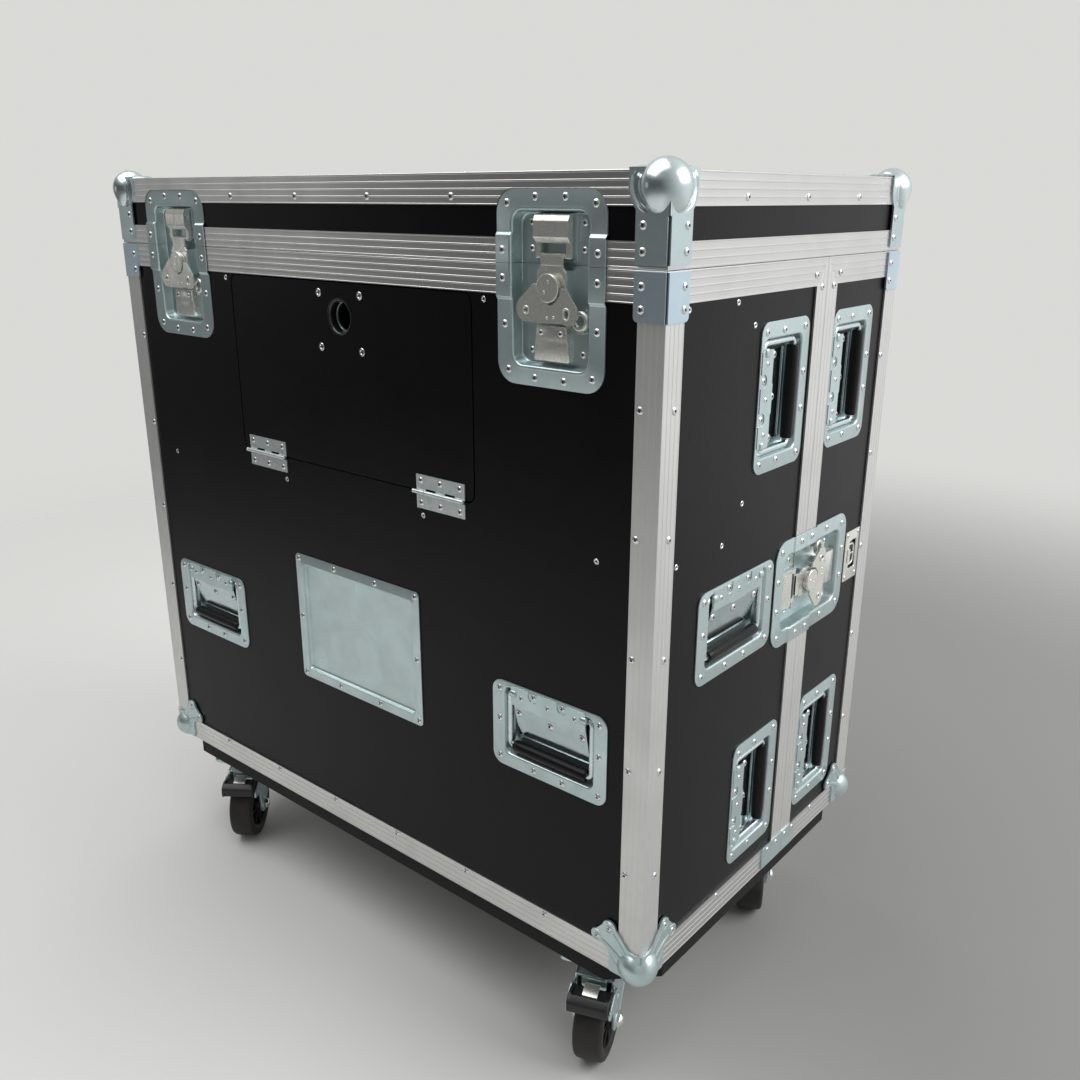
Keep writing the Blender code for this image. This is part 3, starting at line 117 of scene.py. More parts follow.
def loft(rings, capped=True, endless=False):
    verts = [Vector(point) for ring in rings for point in ring]
    size = len(rings[0])
    pairs = [(row, row + 1) for row in range(len(rings) - 1)]
    if endless:
        pairs.append((len(rings) - 1, 0))
    faces = []
    for one, two in pairs:
        for i in range(size):
            j = (i + 1) % size
            faces.append([one * size + i, one * size + j, two * size + j, two * size + i])
    if capped and not endless:
        last = (len(rings) - 1) * size
        faces.append(list(range(size)))
        faces.append([last + i for i in reversed(range(size))])
    return verts, faces


def prism(outline, low, high):
    return loft([[(x, y, level) for x, y in outline] for level in (low, high)])


def flatOutline(low, high):
    return [(low[0], low[1]), (high[0], low[1]), (high[0], high[1]), (low[0], high[1])]


def block(low, high):
    return prism(flatOutline(low, high), low[2], high[2])


# A flat plate between two levels, with holes through it
def plate(outline, low, high, holes=()):
    bm = bmesh.new()
    loops = []
    for loop in (outline, *holes):
        verts = [bm.verts.new((x, y, 0)) for x, y in loop]
        loops.append(verts)
        for one, two in zip(verts, verts[1:] + verts[:1]):
            bm.edges.new((one, two))
    bmesh.ops.triangle_fill(bm, use_beauty=True, use_dissolve=False, edges=bm.edges[:])
    bm.verts.index_update()
    flat = [(vert.co.x, vert.co.y) for vert in bm.verts]
    triangles = [[vert.index for vert in face.verts] for face in bm.faces]
    rims = [[vert.index for vert in verts] for verts in loops]
    bm.free()
    count = len(flat)
    verts = [Vector((x, y, low)) for x, y in flat] + [Vector((x, y, high)) for x, y in flat]
    faces = [list(reversed(face)) for face in triangles]
    faces += [[count + corner for corner in face] for face in triangles]
    for rim in rims:
        for one, two in zip(rim, rim[1:] + rim[:1]):
            faces.append([one, two, count + two, count + one])
    return verts, faces


# Turned about Z from a list of (radius, height)
def lathe(profile, steps=24):
    rings = []
    for step in range(steps):
        angle = math.tau * step / steps
        rings.append([(radius * math.cos(angle), radius * math.sin(angle), z) for radius, z in profile])
    verts = [Vector(point) for ring in rings for point in ring]
    size = len(profile)
    faces = []
    for step in range(steps):
        after = (step + 1) % steps
        for i in range(size - 1):
            faces.append([step * size + i, after * size + i, after * size + i + 1, step * size + i + 1])
    return verts, faces


# A round bar along a path; the radius is one number or one for each point
def tube(path, radius, steps=12, endless=False):
    points = [Vector(point) for point in path]
    count = len(points)
    radii = radius if isinstance(radius, list) else [radius] * count
    rings = []
    side = None
    for i, point in enumerate(points):
        before = points[i - 1] if i or endless else point
        after = points[(i + 1) % count] if i + 1 < count or endless else point
        along = (after - before).normalized()
        if side is None:
            side = along.orthogonal().normalized()
        side = (side - side.dot(along) * along).normalized()
        other = along.cross(side)
        ring = []
        for step in range(steps):
            angle = math.tau * step / steps
            ring.append(point + radii[i] * (math.cos(angle) * side + math.sin(angle) * other))
        rings.append(ring)
    return loft(rings, endless=endless)


# The path through the corners, with each inner one rounded
def filleted(corners, radius, steps=6):
    points = [Vector(corner) for corner in corners]
    path = [points[0]]
    for before, corner, after in zip(points, points[1:], points[2:]):
        back = (before - corner).normalized()
        ahead = (after - corner).normalized()
        half = back.angle(ahead) / 2
        reach = radius / math.tan(half)
        centre = corner + (back + ahead).normalized() * radius / math.sin(half)
        start = corner + back * reach - centre
        turn = math.pi - 2 * half
        axis = start.cross(corner + ahead * reach - centre).normalized()
        for step in range(steps + 1):
            path.append(centre + Matrix.Rotation(turn * step / steps, 3, axis) @ start)
    return path + [points[-1]]


def arc(centre, radius, start, end, steps=8):
    points = []
    for step in range(steps + 1):
        angle = math.radians(start + (end - start) * step / steps)
        points.append((centre[0] + radius * math.cos(angle), centre[1] + radius * math.sin(angle)))
    return points


# A rounded rectangle, anticlockwise, with further points at stations up each side
def rounded(low, high, radius, steps=7, stations=()):
    corners = (
        (high[0] - radius, low[1] + radius, -90),
        (high[0] - radius, high[1] - radius, 0),
        (low[0] + radius, high[1] - radius, 90),
        (low[0] + radius, low[1] + radius, 180),
    )
    points = []
    for corner, (x, y, first) in enumerate(corners):
        points += arc((x, y), radius, first, first + 90, steps - 1)
        if corner == 0:
            points += [(high[0], station) for station in stations]
        if corner == 2:
            points += [(low[0], station) for station in reversed(stations)]
    return points


def centred(halfX, halfY):
    return (-halfX, -halfY), (halfX, halfY)


def grown(low, high, amount):
    return (low[0] - amount, low[1] - amount), (high[0] + amount, high[1] + amount)


# From 0 to 1 with a soft start and end
def eased(share):
    share = min(max(share, 0), 1)
    return share * share * (3 - 2 * share)


# The part of a shape on the side of a plane that its normal points to, with the cut closed
def clipped(shape, point, normal):
    bm = bmesh.new()
    verts = [bm.verts.new(vert) for vert in shape[0]]
    for face in shape[1]:
        bm.faces.new([verts[corner] for corner in face])
    bmesh.ops.remove_doubles(bm, verts=bm.verts, dist=0.001)
    everything = bm.verts[:] + bm.edges[:] + bm.faces[:]
    cut = bmesh.ops.bisect_plane(bm, geom=everything, plane_co=point, plane_no=normal, clear_inner=True)
    edges = [item for item in cut["geom_cut"] if isinstance(item, bmesh.types.BMEdge)]
    bmesh.ops.edgeloop_fill(bm, edges=edges)
    bm.verts.index_update()
    result = [vert.co.copy() for vert in bm.verts], [[vert.index for vert in face.verts] for face in bm.faces]
    bm.free()
    return result


def halved(shape, level, keep):
    return clipped(shape, (0, level, 0), (0, keep, 0))


# The frame of a fitting: X to the right, Y up and Z out of the side of the case that it is on
def onFace(face, across, up, turn=0):
    plane = caseSize["halfDepth"] if face in ("front", "back") else caseSize["halfWidth"]
    return (
        Matrix.Rotation(math.radians(faceYaw[face]), 4, "Z")
        @ Matrix.Translation((across, -plane, up))
        @ Matrix.Rotation(math.radians(90), 4, "X")
        @ Matrix.Rotation(math.radians(turn), 4, "Z")
    )


# Surface effects as node groups

# A node with its settings, and with values for the sockets that nothing feeds
def newNode(tree, kind, values=None, **settings):
    node = tree.nodes.new("ShaderNode" + kind)
    for setting, value in settings.items():
        setattr(node, setting, value)
    for socket, value in (values or {}).items():
        node.inputs[socket].default_value = value
    return node


def linkNodes(tree, *joins):
    for source, output, target, socket in joins:
        tree.links.new(source.outputs[output], target.inputs[socket])


def newGroup(name, inputs, output):
    group = bpy.data.node_groups.new(name, "ShaderNodeTree")
    for label, kind, value in inputs:
        socket = group.interface.new_socket(name=label, in_out="INPUT", socket_type="NodeSocket" + kind)
        socket.default_value = value
    group.interface.new_socket(name=output, in_out="OUTPUT", socket_type="NodeSocketFloat")
    return group, group.nodes.new("NodeGroupInput"), group.nodes.new("NodeGroupOutput")


# Fine marks drawn out along one direction, such as brushing
def grainGroup():
    group, given, result = newGroup(
        "brushedGrain", [("Stretch", "Vector", (1, 1, 1)), ("Scale", "Float", 400.0)], "Mask",
    )
    coords = newNode(group, "TexCoord")
    stretch = newNode(group, "VectorMath", operation="MULTIPLY")
    noise = newNode(group, "TexNoise", {"Detail": 4.0, "Roughness": 0.65})
    linkNodes(
        group,
        (coords, "Object", stretch, 0), (given, "Stretch", stretch, 1), (stretch, "Vector", noise, "Vector"),
        (given, "Scale", noise, "Scale"), (noise, "Fac", result, "Mask"),
    )
    return group


# Soft clouds and thin runs, as plating and handled sheet metal have
def stainGroup():
    group, given, result = newGroup(
        "softStains", [("Scale", "Float", 12.0), ("Sharpness", "Float", 2.0)], "Mask",
    )
    coords = newNode(group, "TexCoord")
    noise = newNode(group, "TexNoise", {"Detail": 6.0, "Distortion": 1.2})
    lowered = newNode(group, "Math", {1: 0.5}, operation="SUBTRACT")
    contrast = newNode(group, "Math", operation="MULTIPLY")
    lifted = newNode(group, "Math", {1: 0.5}, operation="ADD", use_clamp=True)
    linkNodes(
        group,
        (coords, "Object", noise, "Vector"), (given, "Scale", noise, "Scale"), (noise, "Fac", lowered, 0),
        (lowered, "Value", contrast, 0), (given, "Sharpness", contrast, 1), (contrast, "Value", lifted, 0),
        (lifted, "Value", result, "Mask"),
    )
    return group


# The small wrinkled cells pressed into laminate and moulded plastic
def pebbleGroup():
    group, given, result = newGroup(
        "pebbleGrain", [("Scale", "Float", 700.0), ("Wrinkle", "Float", 0.4)], "Height",
    )
    coords = newNode(group, "TexCoord")
    cells = newNode(group, "TexVoronoi", feature="SMOOTH_F1")
    noise = newNode(group, "TexNoise", {"Detail": 3.0})
    blend = newNode(group, "Mix", data_type="FLOAT")
    linkNodes(
        group,
        (coords, "Object", cells, "Vector"), (coords, "Object", noise, "Vector"),
        (given, "Scale", cells, "Scale"), (given, "Scale", noise, "Scale"),
        (given, "Wrinkle", blend, "Factor"),
        (cells, "Distance", blend, "A"), (noise, "Fac", blend, "B"), (blend, "Result", result, "Height"),
    )
    return group


effects = {"grain": grainGroup(), "stains": stainGroup(), "pebble": pebbleGroup()}

# A finish with a pebble scale is moulded or laminated, and one with a grain scale is sheet or bar metal,
# except paintedShade, which is painted shade
finishSettings = {
    "laminate": {
        "slot": "laminate", "color": (0.0007, 0.0008, 0.0016), "stained": (0.0015, 0.0016, 0.0025),
        "roughness": (0.27, 0.39), "specular": 0.17, "stainScale": 7.0, "pebble": 520.0, "bump": 0.42,
    },
    "board": {
        "slot": "board", "color": (0.0065, 0.0065, 0.0070), "stained": (0.013, 0.0125, 0.012),
        "roughness": (0.50, 0.75), "specular": 0.2, "stainScale": 16.0, "pebble": 420.0, "bump": 0.25,
    },
    "aluminiumX": {
        "slot": "aluminium", "color": (0.72, 0.72, 0.71), "stained": (0.63, 0.63, 0.62), "metallic": 1.0,
        "roughness": (0.24, 0.36), "stainScale": 9.0, "grain": (0.012, 1, 1), "grainScale": 2200.0,
        "bump": 0.012,
    },
    "zinc": {
        "slot": "zinc", "color": (0.56, 0.67, 0.68), "stained": (0.48, 0.58, 0.59), "metallic": 0.86,
        "roughness": (0.24, 0.38), "stainScale": 22.0, "grainScale": 420.0, "bump": 0.06,
    },
    "ball": {
        "slot": "zinc", "color": (0.70, 0.79, 0.80), "stained": (0.60, 0.69, 0.70), "metallic": 1.0,
        "roughness": (0.16, 0.30), "stainScale": 35.0, "grainScale": 600.0, "bump": 0.02,
    },
    "blueZinc": {
        "slot": "zinc", "color": (0.57, 0.70, 0.78), "stained": (0.49, 0.61, 0.69), "metallic": 0.84,
        "roughness": (0.24, 0.36), "stainScale": 30.0, "grainScale": 700.0, "bump": 0.05,
    },
    "backSheet": {
        "slot": "zinc", "color": (0.55, 0.64, 0.66), "stained": (0.47, 0.56, 0.58), "metallic": 1.0,
        "roughness": (0.08, 0.17), "stainScale": 45.0, "grainScale": 500.0, "bump": 0.03,
    },
    "steel": {
        "slot": "zinc", "color": (0.74, 0.79, 0.79), "stained": (0.58, 0.64, 0.65), "metallic": 0.80,
        "roughness": (0.22, 0.40), "stainScale": 130.0, "grainScale": 520.0, "bump": 0.09,
    },
    "nickel": {
        "slot": "nickel", "color": (0.80, 0.80, 0.745), "stained": (0.66, 0.67, 0.62), "metallic": 0.80,
        "roughness": (0.18, 0.34), "stainScale": 40.0, "grainScale": 900.0, "bump": 0.04,
    },
    "rivet": {
        "slot": "zinc", "color": (0.78, 0.79, 0.79), "stained": (0.66, 0.68, 0.69), "metallic": 1.0,
        "roughness": (0.14, 0.26), "stainScale": 90.0, "grainScale": 1500.0, "bump": 0.03,
    },
    # paintedShade is not a material of the case: its near-black colour is painted shade, put in rivet holes,
    # screw slots, the corner slits and the ring plates' recesses, where shade would fall
    "paintedShade": {
        "slot": "zinc", "color": (0.012, 0.012, 0.012), "stained": (0.03, 0.028, 0.026),
        "roughness": (0.5, 0.7), "stainScale": 300.0, "grainScale": 2000.0, "bump": 0.05,
    },
    "grip": {
        "slot": "bail", "color": (0.0038, 0.0038, 0.0042), "stained": (0.0070, 0.0070, 0.0075),
        "roughness": (0.24, 0.38), "specular": 0.20, "stainScale": 60.0, "pebble": 1500.0, "bump": 0.10,
    },
    "wire": {
        "slot": "bail", "color": (0.71, 0.78, 0.79), "stained": (0.61, 0.69, 0.71), "metallic": 1.0,
        "roughness": (0.20, 0.36), "stainScale": 60.0, "grainScale": 1200.0, "bump": 0.04,
    },
    "tyre": {
        "slot": "tyre", "color": (0.007, 0.0068, 0.0065), "stained": (0.024, 0.021, 0.018),
        "roughness": (0.48, 0.70), "specular": 0.4, "stainScale": 45.0, "pebble": 900.0, "bump": 0.15,
    },
    "pedal": {
        "slot": "pedal", "color": (0.006, 0.006, 0.0065), "stained": (0.011, 0.011, 0.0115),
        "roughness": (0.32, 0.46), "specular": 0.5, "stainScale": 50.0, "pebble": 1300.0, "bump": 0.10,
    },
    "gloss": {
        "slot": "laminate", "color": (0.009, 0.009, 0.010), "stained": (0.012, 0.012, 0.013),
        "roughness": (0.06, 0.14), "specular": 0.6, "stainScale": 80.0, "pebble": 2000.0, "bump": 0.02,
    },
}
for axis, stretch in (("Y", (1, 0.02, 1)), ("Z", (1, 1, 0.02))):
    finishSettings["aluminium" + axis] = {**finishSettings["aluminiumX"], "grain": stretch}
finishSettings["aluminiumZ"].update(roughness=(0.34, 0.46), metallic=0.82, color=(0.70, 0.70, 0.69))


def makeFinish(name, settings):
    made = bpy.data.materials.new(name)
    made.use_nodes = True
    tree = made.node_tree
    shader = tree.nodes["Principled BSDF"]
    shader.inputs["Metallic"].default_value = settings.get("metallic", 0.0)
    shader.inputs["Specular IOR Level"].default_value = settings.get("specular", 0.5)
    values = {"Scale": settings["stainScale"], "Sharpness": 2.4}
    stains = newNode(tree, "Group", values, node_tree=effects["stains"])
    if "pebble" in settings:
        values = {"Scale": settings["pebble"], "Wrinkle": 0.45}
        relief, height = newNode(tree, "Group", values, node_tree=effects["pebble"]), "Height"
    else:
        values = {"Scale": settings["grainScale"], "Stretch": settings.get("grain", (1, 1, 1))}
        relief, height = newNode(tree, "Group", values, node_tree=effects["grain"]), "Mask"
    colours = {"A": (*settings["color"], 1), "B": (*settings["stained"], 1)}
    tint = newNode(tree, "Mix", colours, data_type="RGBA")
    blend = newNode(tree, "Mix", {"Factor": 0.5}, data_type="FLOAT")
    smoothest, roughest = settings["roughness"]
    shine = newNode(tree, "MapRange", {"To Min": smoothest, "To Max": roughest})
    bump = newNode(tree, "Bump", {"Strength": settings["bump"], "Distance": 0.0003})
    linkNodes(
        tree,
        (stains, "Mask", tint, "Factor"), (tint, "Result", shader, "Base Color"),
        (stains, "Mask", blend, "A"),
        (relief, height, blend, "B"), (blend, "Result", shine, "Value"),
        (shine, "Result", shader, "Roughness"),
        (relief, height, bump, "Height"), (bump, "Normal", shader, "Normal"),
    )
    return made


finishes = {name: makeFinish(name, settings) for name, settings in finishSettings.items()}
print("finishes:", len(finishes))


def newPiece(name, shape, body, finish, replaces=(), bevel=0.0, smooth=35, segments=2):
    mesh = bpy.data.meshes.new(name)
    bm = bmesh.new()
    verts = [bm.verts.new(Vector(vert) * mm) for vert in shape[0]]
    for face in shape[1]:
        bm.faces.new([verts[corner] for corner in face])
    bmesh.ops.remove_doubles(bm, verts=bm.verts, dist=1e-6)
    bmesh.ops.recalc_face_normals(bm, faces=bm.faces)
    bm.to_mesh(mesh)
    bm.free()
    mesh.materials.append(finishes[finish])
    mesh.shade_smooth()
    mesh.set_sharp_from_angle(angle=math.radians(smooth))
    piece = bpy.data.objects.new(name, mesh)
    bpy.context.scene.collection.objects.link(piece)
    if bevel:
        soft = piece.modifiers.new("edges", "BEVEL")
        soft.width = bevel * mm
        soft.segments = segments
        soft.limit_method = "ANGLE"
        soft.angle_limit = math.radians(40)
        soft.harden_normals = True
    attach(piece, body)
    if replaces:
        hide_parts(*replaces)
    return piece


# Where the fittings are

latch = {
    "inset": 131.3, "width": 132.0, "keeper": 68.0, "wing": 115.5, "flange": 19.5, "depth": 14.0,
    "corner": 22.0, "recessCorner": 12.0, "camDrop": 21.0, "sideHeight": 374.0,
    "raised": 1.8, "slope": 4.0, "margin": 1.5, "pad": 1.2,
    "rims": {"lid": (23.6, 29.5), "side": (25.0, 25.0)},      # above and below the dish's split
}
latch["low"] = (-latch["width"] / 2 + latch["flange"], -latch["wing"] + latch["flange"])
latch["high"] = (latch["width"] / 2 - latch["flange"], latch["keeper"] - latch["flange"])
latch["clear"] = latch["high"][0] + sheet + gap
latch["middle"] = caseSize["halfWidth"] - latch["inset"]

handle = {
    "width": 159.0, "height": 105.0, "corner": 14.0, "recessCorner": 8.0, "depth": 14.5, "draft": 3.0,
    "low": (-62.0, -36.0), "high": (62.0, 46.0),
    "frontHeight": 252.0, "upper": 612.5, "lower": 132.5, "middleHeight": 375.5,
    "column": 85.5, "middleColumn": 154.0, "coverColumn": 80.0,
}


# Each latch's frame, the bodies of its two halves and the kind of rims that it bridges
def latchPlaces():
    places = {}
    for face, wingBody, facing in (("front", "case", 1), ("back", "rear_cover", -1)):
        for side, sign in sides.items():
            place = onFace(face, facing * sign * latch["middle"], caseSize["split"])
            places[f"{face}_{side}"] = (place, "lid", wingBody, "lid")
    height = caseSize["bottom"] + latch["sideHeight"]
    for side, sign in sides.items():
        place = onFace(side, sign * caseSize["seamMiddle"], height, 90 * sign)
        places[f"side_{side}"] = (place, "case", "rear_cover", "side")
    return places


def handlePlaces():
    bottom, seam = caseSize["bottom"], caseSize["seam"]
    places = {}
    for side, sign in sides.items():
        place = onFace("front", sign * latch["middle"], bottom + handle["frontHeight"])
        places[f"front_{side}"] = (place, "case")
        for level in ("upper", "lower"):
            height = bottom + handle[level]
            place = onFace(side, sign * (seam - handle["column"]), height, 90 * sign)
            places[f"{side}_{level}"] = (place, "case")
            place = onFace(side, sign * (seam + handle["coverColumn"]), height, 90 * sign)
            places[f"cover_{side}_{level}"] = (place, "rear_cover")
        place = onFace(side, sign * (seam - handle["middleColumn"]), bottom + handle["middleHeight"])
        places[f"{side}_middle"] = (place, "case")
    return places


# Rivets and screws are collected as the pieces are made, and built for each body at the end

rivet = {"radius": 4.0, "height": 1.5, "pin": 1.35}
screw = {"radius": 3.2, "ring": 2.8, "head": 1.8, "slot": 0.35, "slotLength": 1.5}
fasteners = {}


# The spots are (x, y) in the place's own frame
def addFasteners(kind, body, place, spots, z, size):
    for x, y in spots:
        spot = place @ Matrix.Translation((x, y, z)) @ Matrix.Scale(size, 4)
        fasteners.setdefault((kind, body), []).append(spot)


def addRivets(body, place, spots, z=0.0, size=1.0):
    addFasteners("rivets", body, place, spots, z, size)


def addScrews(body, place, spots, z=0.0, size=1.0):
    addFasteners("screws", body, place, spots, z, size)


def buildFasteners():
    r, h, pin = rivet["radius"], rivet["height"], rivet["pin"]
    head = lathe([
        (0, -0.6), (r, -0.6), (r, 0.25), (r * 0.93, 0.55), (r * 0.72, h * 0.82), (r * 0.45, h),
        (pin * 1.2, h), (pin, h * 0.75), (0, h * 0.75),
    ], 16)
    # Each rivet's hole and each screw's slot hold a dark piece: painted shade where the hole and the slot
    # would be shaded
    holeShade = lathe([(0, h * 0.6), (pin * 1.15, h * 0.6), (pin * 1.15, h * 0.9), (0, h * 0.95)], 10)
    r, ring = screw["radius"], screw["ring"]
    washer = lathe([
        (0, -0.5), (r, -0.5), (r, 0.2), (ring, 0.5), (screw["head"], 0.42), (1.3, 0.0), (0, 0.0),
    ], 18)
    half, reach = screw["slot"], screw["slotLength"]
    slotShade = joined(
        block((-reach, -half, -0.1), (reach, half, 0.12)),
        block((-half, -reach, -0.1), (half, reach, 0.13)),
    )
    for (kind, body), spots in sorted(fasteners.items()):
        shape, core = (head, holeShade) if kind == "rivets" else (washer, slotShade)
        heads = joined(*[moved(shape, spot) for spot in spots])
        cores = joined(*[moved(core, spot) for spot in spots])
        newPiece(f"{body}_{kind}", heads, body, "rivet")
        # The dark centres are painted shade in the rivets' holes and the screws' slots
        newPiece(f"{body}_{kind}_centres", cores, body, "paintedShade")
        print(body, kind, len(spots))


# Aluminium extrusions

bars = {
    "lidAngle": 30.4, "lidRim": 23.6, "bodyRim": 29.5, "post": 30.0, "bottomRail": 32.0, "seamBar": 25.0,
    "web": 20.0, "wall": 2.0,
    "fluteWidth": 7.5, "fluteDepth": 0.34, "crest": 1.0, "crestEdge": 0.35, "cornerRadius": 1.0,
}


# Shallow bands between narrow crests, as (place, depth) across a face
def flutes(start, end):
    count = max(1, round((end - start) / bars["fluteWidth"]))
    pitch = (end - start) / count
    edge, deep = bars["crestEdge"], bars["fluteDepth"]
    points = []
    for index in range(count):
        low = start + index * pitch + bars["crest"] / 2
        high = start + (index + 1) * pitch - bars["crest"] / 2
        points += [(low, 0.0), (low + edge, deep * 0.75)]
        for share in (0.25, 0.5, 0.75):
            place = low + edge + (high - low - 2 * edge) * share
            points.append((place, deep * (1 - (2 * share - 1) ** 2 / 4)))
        points += [(high - edge, deep * 0.75), (high, 0.0)]
    return points


# An angle with its outer corner at the origin. Each point is (along face A, along face B)
def barProfile(widthA, widthB, fluted="A"):
    wall, radius = bars["wall"], bars["cornerRadius"]
    corner = arc((radius, radius), radius, 180, 270, 4)     # from face B's plane to face A's
    points = list(corner)
    if "A" in fluted:
        points += flutes(radius + 0.3, widthA - 0.6)
    points += [(widthA, 0), (widthA, wall), (wall, wall), (wall, widthB), (0, widthB)]
    if "B" in fluted:
        points += [(depth, place) for place, depth in reversed(flutes(radius + 0.3, widthB - 0.6))]
    return points


# The profile carried along the corner edge from start to end. A cut gives how far back the end is at a
# point of the profile
def bar(start, end, dirA, dirB, profile, startCut=None, endCut=None, capped=True):
    start, end = Vector(start), Vector(end)
    along = (end - start).normalized()
    dirA, dirB = Vector(dirA), Vector(dirB)
    rings = []
    for origin, sense, cut in ((start, 1, startCut), (end, -1, endCut)):
        ring = []
        for a, b in profile:
            back = cut(a, b) if cut else 0.0
            ring.append(origin + dirA * a + dirB * b + along * (sense * back))
        rings.append(ring)
    return loft(rings, capped)


def mitred(a, b):
    return b


# How far the lid's angle reaches on over a latch: to its middle above the dish, and beside it to the
# dish's corner
def roundDish(a, b):
    corner = latch["corner"] + gap
    rise = caseSize["top"] - caseSize["split"] - a - latch["keeper"] + latch["corner"]
    if rise > corner:
        return -latch["width"] / 2 - gap
    if rise < 0 or b > bars["wall"] / 2:
        return 0.0
    return math.sqrt(corner * corner - rise * rise) - corner


# The profile with two points close together at a place on its first face
def split(profile, place):
    points = []
    for (a, b), (nextA, nextB) in zip(profile, profile[1:] + profile[:1]):
        points.append((a, b))
        if a < place < nextA and b < bars["wall"] / 2:
            depth = b + (nextB - b) * (place - a) / (nextA - a)
            points += [(place - 0.01, depth), (place + 0.01, depth)]
    return points


# For each side of the case: its outward, rightward and half-length values
def faceFrames():
    w, d = caseSize["halfWidth"], caseSize["halfDepth"]
    return {
        "front": (Vector((0, -d, 0)), Vector((1, 0, 0)), Vector((0, 1, 0)), w),
        "right": (Vector((w, 0, 0)), Vector((0, 1, 0)), Vector((-1, 0, 0)), d),
        "back": (Vector((0, d, 0)), Vector((-1, 0, 0)), Vector((0, -1, 0)), w),
        "left": (Vector((-w, 0, 0)), Vector((0, -1, 0)), Vector((1, 0, 0)), d),
    }


# Stretches along an edge, each as (from, to, whether a latch is there)
def spans(half, hasLatches):
    if not hasLatches:
        return [(-half, half, False)]
    ends = [-half]
    for centre in (-latch["middle"], latch["middle"]):
        ends += [centre - latch["clear"], centre + latch["clear"]]
    ends.append(half)
    return [(low, high, index % 2 == 1) for index, (low, high) in enumerate(zip(ends, ends[1:]))]


# What is left of a bar behind a latch's dish
def webProfile():
    behind = latch["depth"] + sheet + gap
    return [(0, behind), (bars["wall"], behind), (bars["wall"], bars["web"]), (0, bars["web"])]


# The bars along one edge of the lid or the body. Notched ones reach round the latches' dishes
def edgeBars(face, level, up, widthA, notched, fluted="A", widthB=None):
    centre, along, inward, half = faceFrames()[face]
    base = centre + Vector((0, 0, level))
    profile = barProfile(widthA, widthB or bars["web"], fluted)
    clear, innerCut = 0.0, None
    if notched:
        profile = split(profile, caseSize["top"] - caseSize["split"] - latch["keeper"] - gap)
        clear, innerCut = latch["width"] / 2 + gap - latch["clear"], roundDish
    shapes = []
    for low, high, atLatch in spans(half, face in ("front", "back")):
        if atLatch:
            if not notched:
                shapes.append(bar(base + along * low, base + along * high, up, inward, webProfile()))
            continue
        startCut = mitred if low == -half else innerCut
        endCut = mitred if high == half else innerCut
        low += clear if low > -half else 0.0
        high -= clear if high < half else 0.0
        start, end = base + along * low, base + along * high
        shapes.append(bar(start, end, up, inward, profile, startCut, endCut, not notched))
    return joined(*shapes)


def lidBars():
    down, up = Vector((0, 0, -1)), Vector((0, 0, 1))
    width = bars["lidAngle"]
    for axis, faces in (("X", ("front", "back")), ("Y", ("right", "left"))):
        angles = [edgeBars(face, caseSize["top"], down, width, True, "AB", width) for face in faces]
        rims = [edgeBars(face, caseSize["lidBottom"], up, bars["lidRim"], False) for face in faces]
        for name, shapes, node in (
            ("angle", angles, "lid_top_extrusion"), ("rim", rims, "lid_rim_extrusion"),
        ):
            newPiece(f"lid_{name}_{axis}", joined(*shapes), "lid", "aluminium" + axis, [node], smooth=9)


# Rim, bottom rail and seam bar on one side, from the case's outer corner to the seam
def sideBars(side, outer, inner):
    centre, _, inward, _ = faceFrames()[side]
    x, top, bottom = centre.x, caseSize["bodyTop"], caseSize["bottom"]
    seamBar, rim, rail = bars["seamBar"], bars["bodyRim"], bars["bottomRail"]
    away = Vector((0, math.copysign(1, outer - inner), 0))
    low = bottom + latch["sideHeight"] - latch["clear"]
    high = bottom + latch["sideHeight"] + latch["clear"]
    profile = barProfile(seamBar, bars["web"])
    level = [
        bar((x, outer, top), (x, inner, top), (0, 0, -1), inward, barProfile(rim, bars["web"]),
            mitred, lambda a, b: a * seamBar / rim),
        bar((x, outer, bottom), (x, inner, bottom), (0, 0, 1), inward, barProfile(rail, rail),
            mitred, lambda a, b: a * seamBar / rail),
    ]
    upright = [
        bar((x, inner, bottom), (x, inner, low), away, inward, profile, lambda a, b: a * rail / seamBar),
        bar((x, inner, high), (x, inner, top), away, inward, profile, None, lambda a, b: a * rim / seamBar),
        bar((x, inner, low), (x, inner, high), away, inward, webProfile()),
    ]
    return level, upright


# The extrusions of the body, or of the rear cover
def shellBars(body, node):
    if body == "case":
        face, outer, inner, inwardY = "front", -caseSize["halfDepth"], caseSize["seam"], 1
    else:
        face, outer, inner, inwardY = "back", caseSize["halfDepth"], caseSize["seam"] + gap, -1
    down, up = Vector((0, 0, -1)), Vector((0, 0, 1))
    centre, along, inward, half = faceFrames()[face]
    post, rail = bars["post"], bars["bottomRail"]
    base = centre + Vector((0, 0, caseSize["bottom"]))
    made = {"X": [edgeBars(face, caseSize["bodyTop"], down, bars["bodyRim"], False)], "Y": [], "Z": []}
    made["X"].append(bar(
        base - along * half, base + along * half, up, inward, barProfile(rail, rail), mitred, mitred,
    ))
    low, high = caseSize["bottom"] + rail, caseSize["bodyTop"] - bars["bodyRim"]
    for side, sign in sides.items():
        x = sign * caseSize["halfWidth"]
        made["Z"].append(bar(
            (x, outer, low), (x, outer, high), (-sign, 0, 0), (0, inwardY, 0), barProfile(post, post, "AB"),
        ))
        level, upright = sideBars(side, outer, inner)
        made["Y"] += level
        made["Z"] += upright
    for axis, shapes in made.items():
        newPiece(f"{node}_bars_{axis}", joined(*shapes), body, "aluminium" + axis, [node], smooth=9)


lidBars()
shellBars("case", "body_frame")
shellBars("rear_cover", "rear_frame")
print("extrusions made")


# Panels

